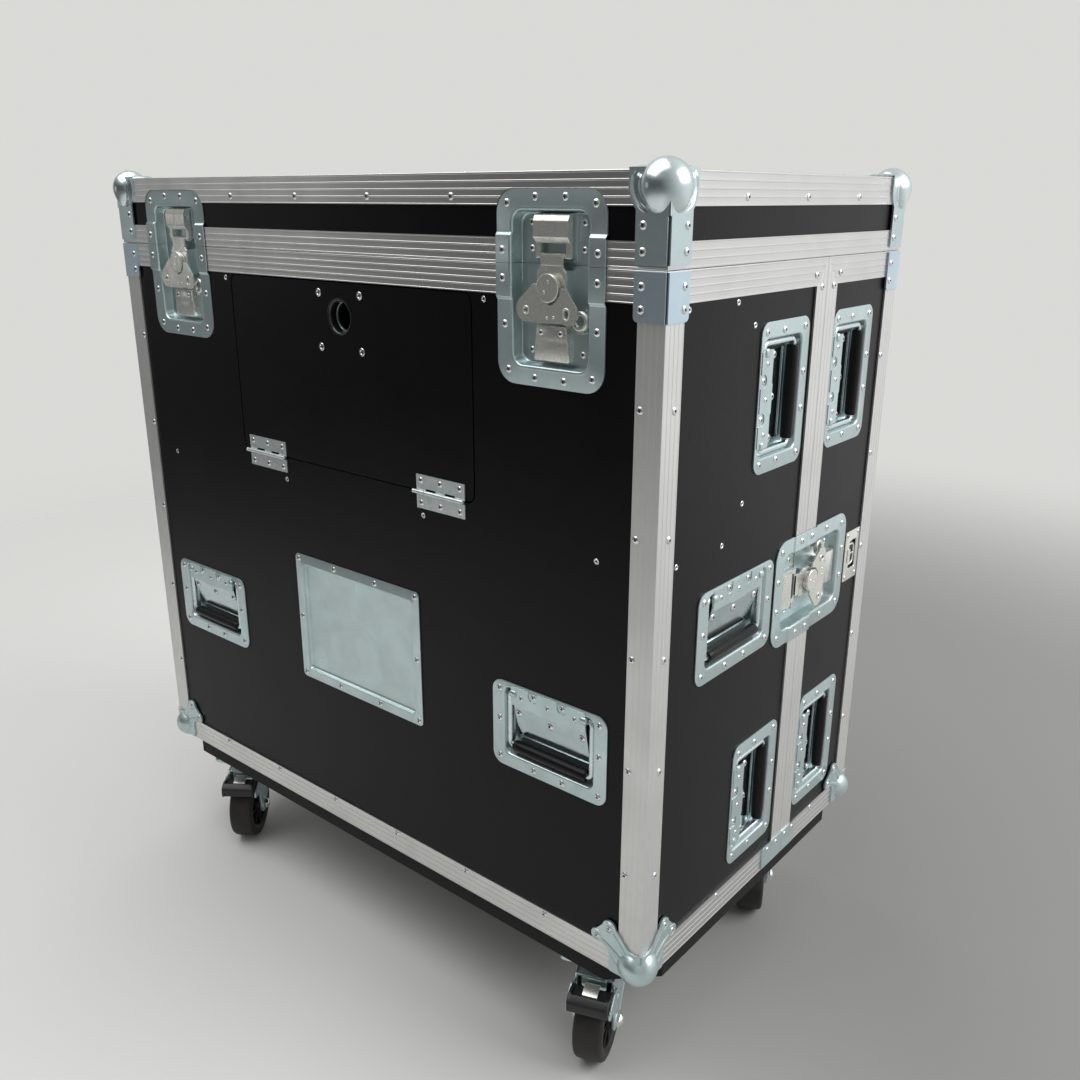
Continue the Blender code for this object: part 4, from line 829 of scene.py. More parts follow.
hatch = {
    "across": 4.0, "width": 414.0, "low": 498.0, "topMargin": 2.0, "corner": 12.0, "clearance": 1.5,
    "pullDrop": 38.0, "pullRadius": 20.5,
}
hatch["top"] = caseSize["bodyTop"] - bars["bodyRim"] - hatch["topMargin"]
hatch["pull"] = hatch["top"] - hatch["pullDrop"]
label = {"width": 229.0, "height": 174.0, "flange": 13.0, "rise": 287.0, "depth": 4.5, "corner": 6.0}
label["half"] = (label["width"] / 2, label["height"] / 2)
label["mouth"] = centred(label["half"][0] - label["flange"], label["half"][1] - label["flange"])
label["place"] = onFace("front", hatch["across"], caseSize["bottom"] + label["rise"])


# A rounded hole of a fitting, as seen in the plane of its panel
def inPlane(place, frame, low, high, radius, steps=5):
    across = frame.inverted() @ place
    return [tuple((across @ Vector((x, y, 0)))[:2]) for x, y in rounded(low, high, radius, steps)]


def hatchOutline(inset=0.0):
    half = hatch["width"] / 2 - inset
    low = caseSize["bottom"] + hatch["low"] + inset
    high = hatch["top"] + hatch["clearance"] - inset
    centre = hatch["across"]
    return rounded((centre - half, low), (centre + half, high), hatch["corner"] - inset)


# A front or back panel's outline, cut out for the latches' dishes at the body's top or the lid's bottom
def notchedOutline(half, low, high, onBody):
    level = high if onBody else low
    reach = latch["low"][1] - sheet - gap if onBody else latch["high"][1] + sheet + gap
    deep = caseSize["split"] + reach
    edge = [(-half, level)]
    for centre in (-latch["middle"], latch["middle"]):
        left, right = centre - latch["clear"], centre + latch["clear"]
        edge += [(left, level), (left, deep), (right, deep), (right, level)]
    edge.append((half, level))
    if onBody:
        return [(-half, low), (half, low)] + edge[::-1]
    return edge + [(half, high), (-half, high)]


def wallPanel(face, outline, holes=()):
    inset = caseSize["panelInset"]
    return moved(plate(outline, -inset - caseSize["panelThickness"], -inset, holes), onFace(face, 0, 0))


# The sunk ring beside the back post: a pressed plate, its recess and the ring folded into it
ringPlate = {
    "across": 202.5, "rise": 374.5, "half": (20.0, 33.5), "low": (-7.5, -18.5), "high": (12.0, 20.0),
    "depth": 7.5, "corner": 2.0, "wire": 1.5, "rivet": (15.0, 28.0),
}


def ringPlace(side):
    return onFace(side, sides[side] * ringPlate["across"], caseSize["bottom"] + ringPlate["rise"])


def handleHole(name):
    place, _ = handlePlaces()[name]
    face = name.removeprefix("cover_").split("_")[0]
    low, high = grown(handle["low"], handle["high"], sheet + gap)
    return inPlane(place, onFace(face, 0, 0), low, high, handle["recessCorner"] + sheet)


# A side strip's outline, with the half of the side latch's pocket cut out of its seam edge
def sideOutline(side, body):
    sign = sides[side]
    inset = caseSize["panelInset"]
    low = caseSize["bottom"] + inset
    high = caseSize["bodyTop"] - inset
    middle = caseSize["bottom"] + latch["sideHeight"]
    clear = latch["clear"]
    if body == "case":
        outer = -caseSize["halfDepth"] + inset + caseSize["panelThickness"] + gap
        inner = caseSize["seam"] - inset
        deep = caseSize["seam"] - latch["high"][1] - sheet - gap
    else:
        outer = caseSize["halfDepth"] - inset
        inner = caseSize["seam"] + gap + inset
        deep = caseSize["seam"] - latch["low"][1] + sheet + gap
    points = [
        (outer, low), (inner, low), (inner, middle - clear), (deep, middle - clear),
        (deep, middle + clear), (inner, middle + clear), (inner, high), (outer, high),
    ]
    return [(sign * y, z) for y, z in points]


def makePanels():
    inset, thick, seam = caseSize["panelInset"], caseSize["panelThickness"], caseSize["seam"]
    behind = thick + gap      # from a panel's face to what it overlaps
    halfW, halfD = caseSize["halfWidth"] - inset, caseSize["halfDepth"] - inset
    low, high = caseSize["bottom"] + inset, caseSize["bodyTop"] - inset
    labelHole = inPlane(label["place"], onFace("front", 0, 0), *grown(*label["mouth"], sheet + gap), 5)
    holes = [hatchOutline(), handleHole("front_left"), handleHole("front_right"), labelHole]
    front = wallPanel("front", notchedOutline(halfW, low, high, True), holes)
    newPiece("front_board", front, "case", "laminate", ["front_panel"], bevel=0.4)
    for side in sides:
        holes = [handleHole(f"{side}_{level}") for level in ("upper", "middle", "lower")]
        board = wallPanel(side, sideOutline(side, "case"), holes)
        newPiece(f"{side}_board", board, "case", "laminate", [f"{side}_panel"], bevel=0.4)
    floor = block((behind - halfW, behind - halfD, low), (halfW - behind, seam - inset, low + thick))
    newPiece("floor_board", floor, "case", "laminate", ["base_panel"], bevel=0.6)

    rearBoards = [wallPanel("back", notchedOutline(halfW, low, high, True))]
    for side, sign in sides.items():
        holes = [handleHole(f"cover_{side}_{level}") for level in ("upper", "lower")]
        left, right = sorted((sign * ringPlate["low"][0], sign * ringPlate["high"][0]))
        ringHole = grown((left, ringPlate["low"][1]), (right, ringPlate["high"][1]), sheet + gap)
        holes.append(inPlane(ringPlace(side), onFace(side, 0, 0), *ringHole, ringPlate["corner"]))
        rearBoards.append(wallPanel(side, sideOutline(side, "rear_cover"), holes))
    rearBoards.append(block(
        (thick - halfW, seam + gap + inset, low), (halfW - thick, halfD - behind, low + thick),
    ))
    newPiece("rear_boards", joined(*rearBoards), "rear_cover", "laminate", ["rear_panels"], bevel=0.4)

    low, top = caseSize["lidBottom"] + bars["wall"] + gap, caseSize["top"] - inset
    fieldX = caseSize["halfWidth"] - caseSize["topField"]
    fieldY = caseSize["halfDepth"] - caseSize["topField"]
    lidBoards = [
        block((-halfW, -halfD, top - thick), (halfW, halfD, top)),
        block((-fieldX, -fieldY, top - gap), (fieldX, fieldY, top + gap)),
    ]
    for face in ("front", "back"):
        lidBoards.append(wallPanel(face, notchedOutline(halfW, low, top - behind, False)))
    for face in sides:
        lidBoards.append(wallPanel(face, flatOutline((behind - halfD, low), (halfD - behind, top - behind))))
    newPiece("lid_boards", joined(*lidBoards), "lid", "laminate", ["lid_panels"], bevel=0.4)

    pull = arc((hatch["across"], hatch["pull"]), hatch["pullRadius"], 0, 345, 23)
    door = wallPanel("front", hatchOutline(hatch["clearance"]), [pull])
    newPiece("hatch_board", door, "hatch", "laminate", ["hatch_door"], bevel=0.6)


makePanels()
print("panels made")


# Pressed sheet metal

# A sheet bent along a path of (y, z) points, from side to side at the stations. Cells for which
# missing(station, row) is true are left out
def sheetGrid(path, stations, thickness, missing=None):
    count = len(path)
    normals = []
    for i in range(count):
        before, after = path[max(i - 1, 0)], path[min(i + 1, count - 1)]
        along = Vector((after[0] - before[0], after[1] - before[1])).normalized()
        normals.append(Vector((-along.y, along.x)))
    verts = []
    for depth in (0.0, thickness):
        for (y, z), normal in zip(path, normals):
            for x in stations:
                verts.append(Vector((x, y - normal.x * depth, z - normal.y * depth)))
    width = len(stations)
    layer = count * width

    def present(row, column):
        if not (0 <= row < count - 1 and 0 <= column < width - 1):
            return False
        return not (missing and missing(stations[column], path[row]))

    faces = []
    for row in range(count - 1):
        for column in range(width - 1):
            if not present(row, column):
                continue
            a = row * width + column
            b, c, d = a + 1, a + width + 1, a + width
            faces.append([a, b, c, d])
            faces.append([layer + d, layer + c, layer + b, layer + a])
            for (one, two), (nextRow, nextColumn) in (
                ((a, b), (row - 1, column)), ((b, c), (row, column + 1)),
                ((c, d), (row + 1, column)), ((d, a), (row, column - 1)),
            ):
                if not present(nextRow, nextColumn):
                    faces.append([two, one, layer + one, layer + two])
    return verts, faces


def bentPath(corners, radius, steps=4):
    return [(point.x, point.y) for point in filleted([(y, z, 0) for y, z in corners], radius, steps)]


dishEdge = {
    # offset out from the opening's edge, height over the flange's face, share of the flange's raise
    "lip": [(-0.6, -2.6, 0.8), (-0.2, -1.2, 1), (0.35, -0.25, 1), (1.2, 0.35, 1), (2.2, 0.45, 1),
            (3.3, 0.25, 1), (4.2, 0.0, 1)],
    "rim": [(0.6, 0.0), (0.15, -0.15), (0.0, -0.6)],
}


# A pressed dish as one closed sheet. raised(y) lifts the flange where it lies over a rim
def pressedDish(low, high, radius, flangeLow, flangeHigh, flangeRadius, depth, draft,
                raised=lambda y: 0.0, stations=(), lip=1.0):
    rings = []

    def ring(bounds, corner, z, share):
        outline = rounded(*bounds, max(corner, 0.6), 9, stations)
        rings.append([(x, y, z + share * raised(y)) for x, y in outline])

    back = flangeFront - sheet
    wall = [(-draft - 3.0, -depth), (-draft - 1.2, -depth + 0.35), (-draft - 0.2, -depth + 1.6)]
    for offset, z in wall:
        ring(grown(low, high, offset), radius + offset / 2, z, 0)
    for offset, z, share in dishEdge["lip"]:
        ring(grown(low, high, offset * lip), radius + offset * lip, flangeFront + z * lip, share)
    for inset, z in dishEdge["rim"]:
        ring(grown(flangeLow, flangeHigh, -inset), flangeRadius - inset, flangeFront + z, 1)
    ring((flangeLow, flangeHigh), flangeRadius, back, 1)
    ring(grown(low, high, sheet), radius + sheet, back, 1)
    ring(grown(low, high, sheet), radius + sheet, -depth * 0.6, 0)
    ring(grown(low, high, sheet - draft), radius, -depth - sheet, 0)
    return loft(rings)


# Latches

# How far a latch's flange is raised to clear the two rims under it
def flangeRise(y, kind):
    keeperFace, wingFace = latch["rims"][kind]
    beyond = max(y - keeperFace - latch["margin"], -wingFace - latch["margin"] - y, 0)
    return (latch["raised"] - flangeFront) * (1 - eased(beyond / latch["slope"]))


def latchDish(kind):
    keeperFace, wingFace = latch["rims"][kind]
    top, bottom = keeperFace + latch["margin"], -wingFace - latch["margin"]
    steps = [latch["slope"] * share for share in (0, 0.2, 0.4, 0.6, 0.8, 1)]
    stations = [bottom - step for step in reversed(steps)] + [top + step for step in steps]
    half = latch["width"] / 2
    return pressedDish(
        latch["low"], latch["high"], latch["recessCorner"], (-half, -latch["wing"]), (half, latch["keeper"]),
        latch["corner"], latch["depth"], 1.0, lambda y: flangeRise(y, kind), stations,
    )


latchRivets = {
    "keeper": [(-53, 55), (-18, 60.5), (18, 60.5), (53, 55), (-57.5, 12), (57.5, 12)],
    "wing": [(-57.5, -14), (57.5, -14), (-56.5, -58), (56.5, -58), (-52, -102), (-18, -107.5),
             (18, -107.5), (52, -102)],
    "keeperFloor": [(-31.5, 38), (-31.5, 14), (31.5, 38), (31.5, 14)],
    "wingFloor": [(-31.5, -82), (31.5, -82)],
    "cover": [(-12, -63), (12, -63)],
}


# The keeper's half of the floor plate and the bulged strap with its window
def keeperWorks():
    floor = -latch["depth"]
    pad = plate(rounded((-37, 2), (37, 44), 3, 4), floor - 0.1, floor + latch["pad"])
    ridges = [block((side * 24 - 0.9, 3, floor), (side * 24 + 0.9, 43.5, floor + 2.4)) for side in (-1, 1)]
    level = -5.6      # of the strap's window, below the bulge
    corners = [(6.0, -8.4), (4.6, level), (10.5, level), (19.5, level), (24.5, -1.0), (39.0, -1.0),
               (45.6, -4.0), (46.4, floor)]
    path = bentPath(corners[:3], 1.2) + [(15.0, level)] + bentPath(corners[3:], 3.0)
    strap = sheetGrid(
        path, [-21, -15.5, 15.5, 21], sheet,
        lambda x, point: x == -15.5 and 10.4 < point[0] < 19.4 and point[1] < -5,
    )
    side = path[1:] + [(46.4, floor), (10, floor), (6.5, -10)]
    walls = []
    for sign in (-1, 1):
        ends = sorted((sign * 20.9, sign * 19.6))
        walls.append(loft([[(x, y, z - 0.1) for y, z in side] for x in ends]))
    return joined(pad, *ridges), joined(strap, *walls)


# The wing's half of the floor plate with its bed, the cover plate and the padlock's eye
def wingWorks():
    floor, soft = -latch["depth"], 1.6
    pad = plate(rounded((-37, -93), (37, -2), 3, 4), floor - 0.1, floor + latch["pad"])
    bed = block((-17, -36, floor), (17, -5, -5.7))
    sections = []
    for y, half, z in ((-56, 18, -3.2), (-57.2, 18.4, -2.6), (-69, 19.5, -2.5), (-71, 20.4, -3.1),
                       (-73, 20.6, -3.1), (-88.5, 21, -2.6), (-90, 21, -3.4)):
        side = [(half - soft, z), (half - soft * 0.3, z - soft * 0.3), (half, z - soft), (half, floor)]
        section = [(-x, height) for x, height in reversed(side)] + side
        sections.append([(x, y, height) for x, height in section])
    ring = [(x, y, -6) for x, y in arc((33, -50), 7.3, 0, 345, 23)]
    eye = tube(ring, 2.6, 14, endless=True)
    foot = plate(rounded((29, -62), (37, -55), 2, 4), floor, -4.2)
    return joined(pad, bed), loft(sections), joined(eye, foot)


# The holes are (x, lowest centre, highest centre)
butterfly = {
    "low": 0.8, "high": 2.8, "hole": 2.2, "slot": (22.6, -24.4, -21.0), "eyelet": (-26.5, -21.6, -21.4),
}


# The butterfly wing. Its origin is on the cam's axis
def wingPlate():
    outline = [(-14, -32.9), (18.5, -31.9)]
    outline += arc((24.5, -22), 11.5, -100, 40, 14)
    outline += arc((20.5, -2.2), 2.6, 20, 90, 4) + [(15.3, 0.6)]
    outline += arc((0, 0), 15.8, 2, -88, 12) + [(0.5, -12), (-12, 2)]
    outline += arc((-16.6, 1.2), 2.6, 60, 140, 4)
    outline += arc((-26.5, -20.5), 12, 135, 265, 14)
    x, low, high = butterfly["slot"]
    slot = arc((x, high), butterfly["hole"], 0, 180, 6) + arc((x, low), butterfly["hole"], 180, 360, 6)
    x, low, high = butterfly["eyelet"]
    eyelet = arc((x, (low + high) / 2), butterfly["hole"], 0, 337.5, 15)
    return plate(outline, butterfly["low"], butterfly["high"], [slot, eyelet])


def wingTrim():
    shapes = []
    for x, low, high in (butterfly["eyelet"], butterfly["slot"]):
        path = arc((x, high), 3.4, 0, 180, 8) + arc((x, low), 3.4, 180, 360, 8)[:-1]
        shapes.append(tube([(a, b, butterfly["high"] - 0.1) for a, b in path], 1.0, 8, endless=True))
    for x, y in ((-0.5, -27.5), (7.5, -26.5)):
        shapes.append(shifted(lathe([(0, 2.2), (1.7, 2.6), (1.2, 3.2), (0, 3.5)], 14), x, y))
    return joined(*shapes)


def camDisc():
    disc = lathe([
        (0, -3.1), (11.8, -3.1), (11.8, -1.6), (12.9, -1.3), (12.9, 0.1), (12.1, 0.4), (12.1, 0.9),
        (13.5, 1.2), (13.5, 3.3), (13.1, 3.8), (12.4, 4.0), (11.8, 4.0), (0, 4.0),
    ], 40)
    studs = [shifted(lathe([(0, 3.8), (1.7, 3.8), (1.7, 4.2), (1.3, 4.5), (0, 4.6)], 14), x, y)
             for x, y in ((1.3, 5.9), (-3.3, -4.0))]
    return joined(disc, *studs)


# The hook, drawn from the cam's axis, with a lip along its far end that reaches down past the sheet
def hookPlate():
    top = latch["camDrop"] + 9.5
    outline = [(-18, -16), (18, -16), (18, 15), (13.5, 19), (13.5, top - 1.5), (12, top), (-12, top),
               (-13.5, top - 1.5), (-13.5, 19), (-18, 15)]
    hole = arc((0, 0), 5.4, 0, 180, 8) + arc((0, -6), 5.4, 180, 360, 8)
    sheetTop = plate(outline, -5.2, -3.2, [hole])
    thick = plate([(-17.4, -15.5), (17.4, -15.5), (17.4, 14.5), (13.2, 18.6), (13.2, 20.6), (-13.2, 20.6),
                   (-13.2, 18.6), (-17.4, 14.5)], -3.3, -2.5, [hole])
    lip = block((-12.6, top - 1.6, -6.4), (12.6, top, -3.0))
    line = block((-6.6, 15, -2.6), (-5.8, 20.4, -2.2))
    return joined(sheetTop, thick, lip, line)


def makeLatches():
    dishes = {kind: latchDish(kind) for kind in latch["rims"]}
    keeperPad, strap = keeperWorks()
    wingPad, cover, eye = wingWorks()
    wing, trim, cam, hook = wingPlate(), wingTrim(), camDisc(), hookPlate()
    for name, (place, keeperBody, wingBody, kind) in latchPlaces().items():
        if kind == "lid":
            keeperNode = f"lid_keeper_{name}"
            wingNode = name.replace("_", "_latch_dish_")
        else:
            keeperNode = f"{name.split('_')[1]}_panel"
            wingNode = "rear_panels"
        for part, pad, sign, body, node in (
            ("keeper", keeperPad, 1, keeperBody, keeperNode), ("wing", wingPad, -1, wingBody, wingNode),
        ):
            dish = moved(joined(halved(dishes[kind], sign * gap / 2, sign), pad), place)
            newPiece(f"latch_{part}_dish_{name}", dish, body, "zinc", [node], smooth=40)
            for x, y in latchRivets[part]:
                addRivets(body, place, [(x, y)], flangeFront + flangeRise(y, kind))
            addRivets(body, place, latchRivets[part + "Floor"], latch["pad"] - latch["depth"], 0.85)
            if part == "keeper":
                newPiece(f"latch_strap_{name}", moved(strap, place), body, "nickel", [node], bevel=0.35)
        newPiece(f"latch_cover_{name}", moved(cover, place), wingBody, "nickel", [wingNode], bevel=0.3)
        addRivets(wingBody, place, latchRivets["cover"], -2.6, 0.75)
        newPiece(f"padlock_eye_{name}", moved(eye, place), wingBody, "nickel", [wingNode], smooth=50)
        axis = place @ Matrix.Translation((0, -latch["camDrop"], 0))
        body = f"latch_wing_{name}"
        newPiece(f"butterfly_{name}", moved(wing, axis), body, "nickel", [body], bevel=0.55, segments=3)
        newPiece(f"butterfly_trim_{name}", moved(trim, axis), body, "nickel", [body], smooth=50)
        newPiece(f"cam_disc_{name}", moved(cam, axis), body, "nickel", [body], smooth=30)
        body = f"latch_hook_{name}"
        newPiece(f"hook_{name}", moved(hook, axis), body, "nickel", [body], bevel=0.4)


makeLatches()
print("latches made")


# Handles

bail = {
    "arm": 57.0, "length": 66.0, "wire": 3.5, "pivotY": 40.0, "pivotZ": -5.8, "bend": 6.0, "inward": 12.0,
    "grip": 7.0, "gripEnd": 6.0, "backTop": (27.5, -2.6), "backLow": (-13.5, -12.0),
}
handleRivets = {
    "flange": [(-69, 42), (69, 42), (-69, -42), (69, -42), (-69, 5), (69, 5), (-20, -45), (20, -45)],
    "notch": [(-20, 44.8), (20, 44.8)], "hinge": [(-37, 38.5), (0, 38.5), (37, 38.5)],
    "back": [(-44, 17.5), (0, 15.5), (44, 17.5)],
}


def handleDish():
    return pressedDish(
        handle["low"], handle["high"], handle["recessCorner"],
        *centred(handle["width"] / 2, handle["height"] / 2),
        handle["corner"], handle["depth"], handle["draft"],
    )


# The plate over the bail's hinge line, notched round two of the flange's rivets
def hingePlate():
    low, top, half = 27.5, 50.3, 51.5
    outline = [(-half, low + 1), (1 - half, low), (-17, low), (-15, low - 1.6), (15, low - 1.6), (17, low),
               (half - 1, low), (half, low + 1), (half, top - 2), (half - 2, top)]
    for centre in (20, -20):
        outline += [(centre + 7.0, top)] + arc((centre, top - 5.0), 7.0, 20, -200, 12) + [(centre - 7.0, top)]
    outline += [(2 - half, top), (-half, top - 2)]
    flat = plate(outline, -0.5, 0.5)
    backing = plate(rounded((-51, 30), (51, 47.5), 1.5, 3), -2.0, -0.5)
    bumps = []
    for side in (-1, 1):
        sections = []
        for x, size in ((44.0, 0.55), (45.0, 0.9), (46.5, 1.0), (50.5, 1.0), (52.0, 0.9), (53.0, 0.55)):
            ring = [(side * x, 41 + 4.2 * size * math.cos(turn), 0.2 + 2.3 * size * math.sin(turn))
                    for turn in [math.pi * step / 10 for step in range(11)]]
            sections.append(ring + [(side * x, 36.8, -1.4), (side * x, 45.2, -1.4)])
        bumps.append(loft(sections))
    return joined(flat, backing, *bumps)


def springPlate():
    top, low = bail["backTop"], bail["backLow"]
    path = bentPath([(31, top[1]), top, low, (low[0] - 1.4, low[1])], 0.6, 3)
    back = sheetGrid(path[::-1], [-50, -30, 0, 30, 50], 1.2)
    bead = tube([(x, low[0] - 1.2, low[1] + 0.4) for x in (-49, -48.4, 48.4, 49)], [0.3, 0.55, 0.55, 0.3], 10)
    return joined(back, bead)


# Height of the back plate at a point between the hinge plate and the grip
def backHeight(y):
    top, low = bail["backTop"], bail["backLow"]
    return top[1] + (low[1] - top[1]) * (top[0] - y) / (top[0] - low[0])


def bailWire():
    arm, drop = bail["arm"], -bail["length"]
    end = arm - bail["inward"]
    corners = [(-end, 0, 0), (-arm, 0, 0), (-arm, drop, 0), (arm, drop, 0), (arm, 0, 0), (end, 0, 0)]
    return tube(filleted(corners, bail["bend"]), bail["wire"], 14)


def bailGrip():
    half = bail["arm"] - bail["gripEnd"]
    radius = bail["grip"]
    end = [(radius - 0.4, half - 2.0), (radius - 0.9, half - 0.5), (radius - 2.2, half), (0, half)]
    profile = [(r, -z) for r, z in reversed(end)]
    profile += [(radius - 0.4 * (abs(z) / 40) ** 2, z) for z in (-40, -20, 0, 20, 40)] + end
    return shifted(turnedBy(lathe(profile, 28), 90, "Y"), y=-bail["length"])


def makeHandles():
    dish, hinge, spring = handleDish(), hingePlate(), springPlate()
    wire, grip = bailWire(), bailGrip()
    for name, (place, body) in handlePlaces().items():
        node = "rear_panels" if body == "rear_cover" else f"{name.split('_')[0]}_panel"
        newPiece(f"handle_dish_{name}", moved(dish, place), body, "zinc", [node], smooth=40)
        newPiece(f"hinge_plate_{name}", moved(hinge, place), body, "zinc", [node], bevel=0.5)
        newPiece(f"spring_plate_{name}", moved(spring, place), body, "backSheet", [node], bevel=0.3)
        addRivets(body, place, handleRivets["flange"], flangeFront)
        addRivets(body, place, handleRivets["notch"], flangeFront, 0.95)
        for x, y in handleRivets["back"]:
            addRivets(body, place, [(x, y)], backHeight(y) - 0.1, 1.15)
        addRivets(body, place, handleRivets["hinge"], 0.3, 0.8)
        axis = place @ Matrix.Translation((0, bail["pivotY"], bail["pivotZ"]))
        carried = f"handle_bail_{name}"
        newPiece(f"bail_wire_{name}", moved(wire, axis), carried, "wire", [carried], smooth=60)
        newPiece(f"bail_grip_{name}", moved(grip, axis), carried, "grip", [carried], smooth=50)


makeHandles()
print("handles made")


# Label dish, hatch hinges and the hatch's bolt

def makeLabelDish():
    (halfW, halfH), place = label["half"], label["place"]
    shape = pressedDish(
        *label["mouth"], 4.0, *centred(halfW, halfH), label["corner"], label["depth"] + 0.5, 0.6, lip=0.6,
    )
    newPiece("label_dish_sheet", moved(shape, place), "case", "zinc", ["label_dish"], smooth=40)
    x, y = halfW - label["flange"] / 2, halfH - label["flange"] / 2
    addRivets("case", place, [(a, b) for a in (-x, x) for b in (-y, 0, y)], flangeFront)
    addRivets("case", place, [(a, b) for a in (-halfW / 3, halfW / 3) for b in (-y, y)], flangeFront)


# The slots are between a knuckle and its leaf
hinge = {
    "spacing": 311.0, "width": 74.5, "leaf": 19.5, "leafBack": -2.35, "leafFront": -0.55, "knuckle": 2.5,
    "pin": 1.6, "knuckles": 5, "rise": 1.5, "slot": {"case": 0.5, "hatch": 1.6}, "rivets": (-30, 0, 30),
}


def makeHinges():
    height = caseSize["bottom"] + hatch["low"] + hatch["clearance"] / 2
    leaves = {"case": [], "hatch": []}
    rolls = {"case": [], "hatch": []}
    half, bore, outer = hinge["width"] / 2, hinge["pin"], hinge["knuckle"]
    pitch = hinge["width"] / hinge["knuckles"]
    pin = lathe([
        (0, -41.6), (1.6, -41.4), (2.4, -40.6), (2.5, -39.2), (2.1, -38.0), (1.5, -37.6), (1.5, 38),
        (0, 38.2),
    ], 16)
    pin = shifted(turnedBy(pin, 90, "Y"), z=hinge["rise"])
    for side in (-1, 1):
        place = onFace("front", hatch["across"] + side * hinge["spacing"] / 2, height)
        for body, sign, first in (("case", -1, 1), ("hatch", 1, 0)):
            slot = outer + hinge["slot"][body]
            near, far = sorted((sign * slot, sign * hinge["leaf"]))
            leaf = plate(flatOutline((-half, near), (half, far)), hinge["leafBack"], hinge["leafFront"])
            leaves[body].append(moved(leaf, place))
            for index in range(first, hinge["knuckles"], 2):
                low = -half + index * pitch + gap / 2
                high = low + pitch - gap
                roll = lathe([(bore, low), (outer, low), (outer, high), (bore, high)], 20)
                roll = shifted(turnedBy(roll, 90, "Y"), z=hinge["rise"])
                near, far = sorted((sign * 1.0, sign * (slot + 0.4)))
                strip = block((low, near, -2.0), (high, far, -0.6))
                rolls[body] += [moved(roll, place), moved(strip, place)]
            addRivets(body, place, [(x, sign * 13.0) for x in hinge["rivets"]], -0.7, 0.92)
        rolls["case"].append(moved(pin, place))
    for body, node in (("case", "front_panel"), ("hatch", "hatch_door")):
        newPiece(f"hinge_leaves_{body}", joined(*leaves[body]), body, "steel", [node], bevel=0.3)
        newPiece(f"hinge_knuckles_{body}", joined(*rolls[body]), body, "steel", [node], bevel=0.25)


bolt = {
    "half": 30.0, "bottom": -30.0, "shoulder": 20.0, "neck": 9.0, "throat": 24.0, "hole": 16.0,
    "thickness": 3.0, "railLow": -40.0, "railHigh": 28.0, "railWidth": 5.0, "lip": 4.0,
    "screws": [(x, y) for x in (-35.5, 35.5) for y in (-36.5, 25.5)],
}


def makeHatchWorks():
    place = onFace("front", hatch["across"], hatch["pull"])
    back = -caseSize["panelInset"] - caseSize["panelThickness"]
    r = hatch["pullRadius"] - gap
    cup = lathe([
        (r, back), (r, -2.4), (r + 0.9, -2.1), (r + 0.7, -1.5), (r - 0.6, -1.3), (r - 1.8, -1.9),
        (r - 2.7, -3.4), (r - 3.2, -6.5), (r - 3.4, back), (r, back),
    ], 48)
    newPiece("finger_cup", moved(cup, place), "hatch", "gloss", ["hatch_door"], smooth=50)
    addScrews("hatch", place, bolt["screws"], -caseSize["panelInset"], 1.45)
    half, bottom, shoulder = bolt["half"], bolt["bottom"], bolt["shoulder"]
    neck, throat, top = bolt["neck"], bolt["throat"], hatch["pullDrop"] - hatch["clearance"]
    outline = [(-half, bottom), (half, bottom), (half, shoulder), (neck, throat), (neck, top), (-neck, top),
               (-neck, throat), (-half, shoulder)]
    hole = arc((0, 0), bolt["hole"], 0, 345, 23)
    shape = plate(outline, back - gap - bolt["thickness"], back - gap, [hole])
    newPiece("hatch_bolt", moved(shape, place), "hatch_latch", "zinc", ["hatch_latch"], bevel=0.4)
    rails = []
    inner = half + gap
    low, high = bolt["railLow"], bolt["railHigh"]
    for side in (-1, 1):
        near, far = sorted((side * inner, side * (inner + bolt["railWidth"])))
        rails.append(block((near, low, back - 5.6), (far, high, back + 0.1)))
        near, far = sorted((side * (inner - bolt["lip"]), side * (inner + bolt["lip"])))
        rails.append(block((near, low, back - 5.6), (far, high, back - 3.6)))
    newPiece("bolt_rails", moved(joined(*rails), place), "hatch", "zinc", ["hatch_door"], bevel=0.3)


def makeRingPlates():
    size = ringPlate
    low, high, depth = size["low"], size["high"], size["depth"]
    dish = pressedDish(low, high, size["corner"], *centred(*size["half"]), 2.0, depth, 0.3, lip=0.4)
    mouth = rounded(*grown(low, high, -0.5), 1.5, 3)
    # A dark lining on the recess's floor and walls: painted shade where the recess would be shaded
    recessShade = joined(plate(rounded(*grown(low, high, 0.2), 1.5, 3), -depth - 0.2, 0.4 - depth),
                  plate(rounded(*grown(low, high, 0.1), 1.8, 3), -depth, -1.6, [mouth]))
    middle = (low[0] + high[0]) / 2
    loop = [(x, y, -3.0) for x, y in rounded((low[0] - 1.2, -13.0), (middle + 7.0, 14.0), 6.5, 7)]
    ring = tube(loop, size["wire"], 12, endless=True)
    tongue = tube([(low[0] - 1.0, 1.2, -2.6), (middle + 6.0, 1.2, -2.6)], 1.1, 10)
    bent = [(-5.5, -0.4), (-5.5, 0.7), (-2.6, 1.5), (0.4, 0.9), (0.8, -1.4), (0.0, -1.4), (-0.6, -0.2)]
    clip = loft([[(low[0] + x, y, z) for x, z in bent] for y in (-8.5, 9.5)])
    across, up = size["rivet"]
    for side, sign in sides.items():
        place = ringPlace(side)
        for name, shape, finish in (("dish", dish, "nickel"), ("recessShade", recessShade, "paintedShade"),
                                    ("loop", joined(ring, tongue, clip), "nickel")):
            shape = moved(mirroredX(shape, sign), place)
            newPiece(f"ring_plate_{name}_{side}", shape, "rear_cover", finish, smooth=40)
        spots = [(x, y) for x in (-across, across) for y in (-up, up)]
        addRivets("rear_cover", place, spots, flangeFront, 0.7)


makeLabelDish()
makeRingPlates()
makeHinges()
makeHatchWorks()
print("hatch made")


# Corner hardware

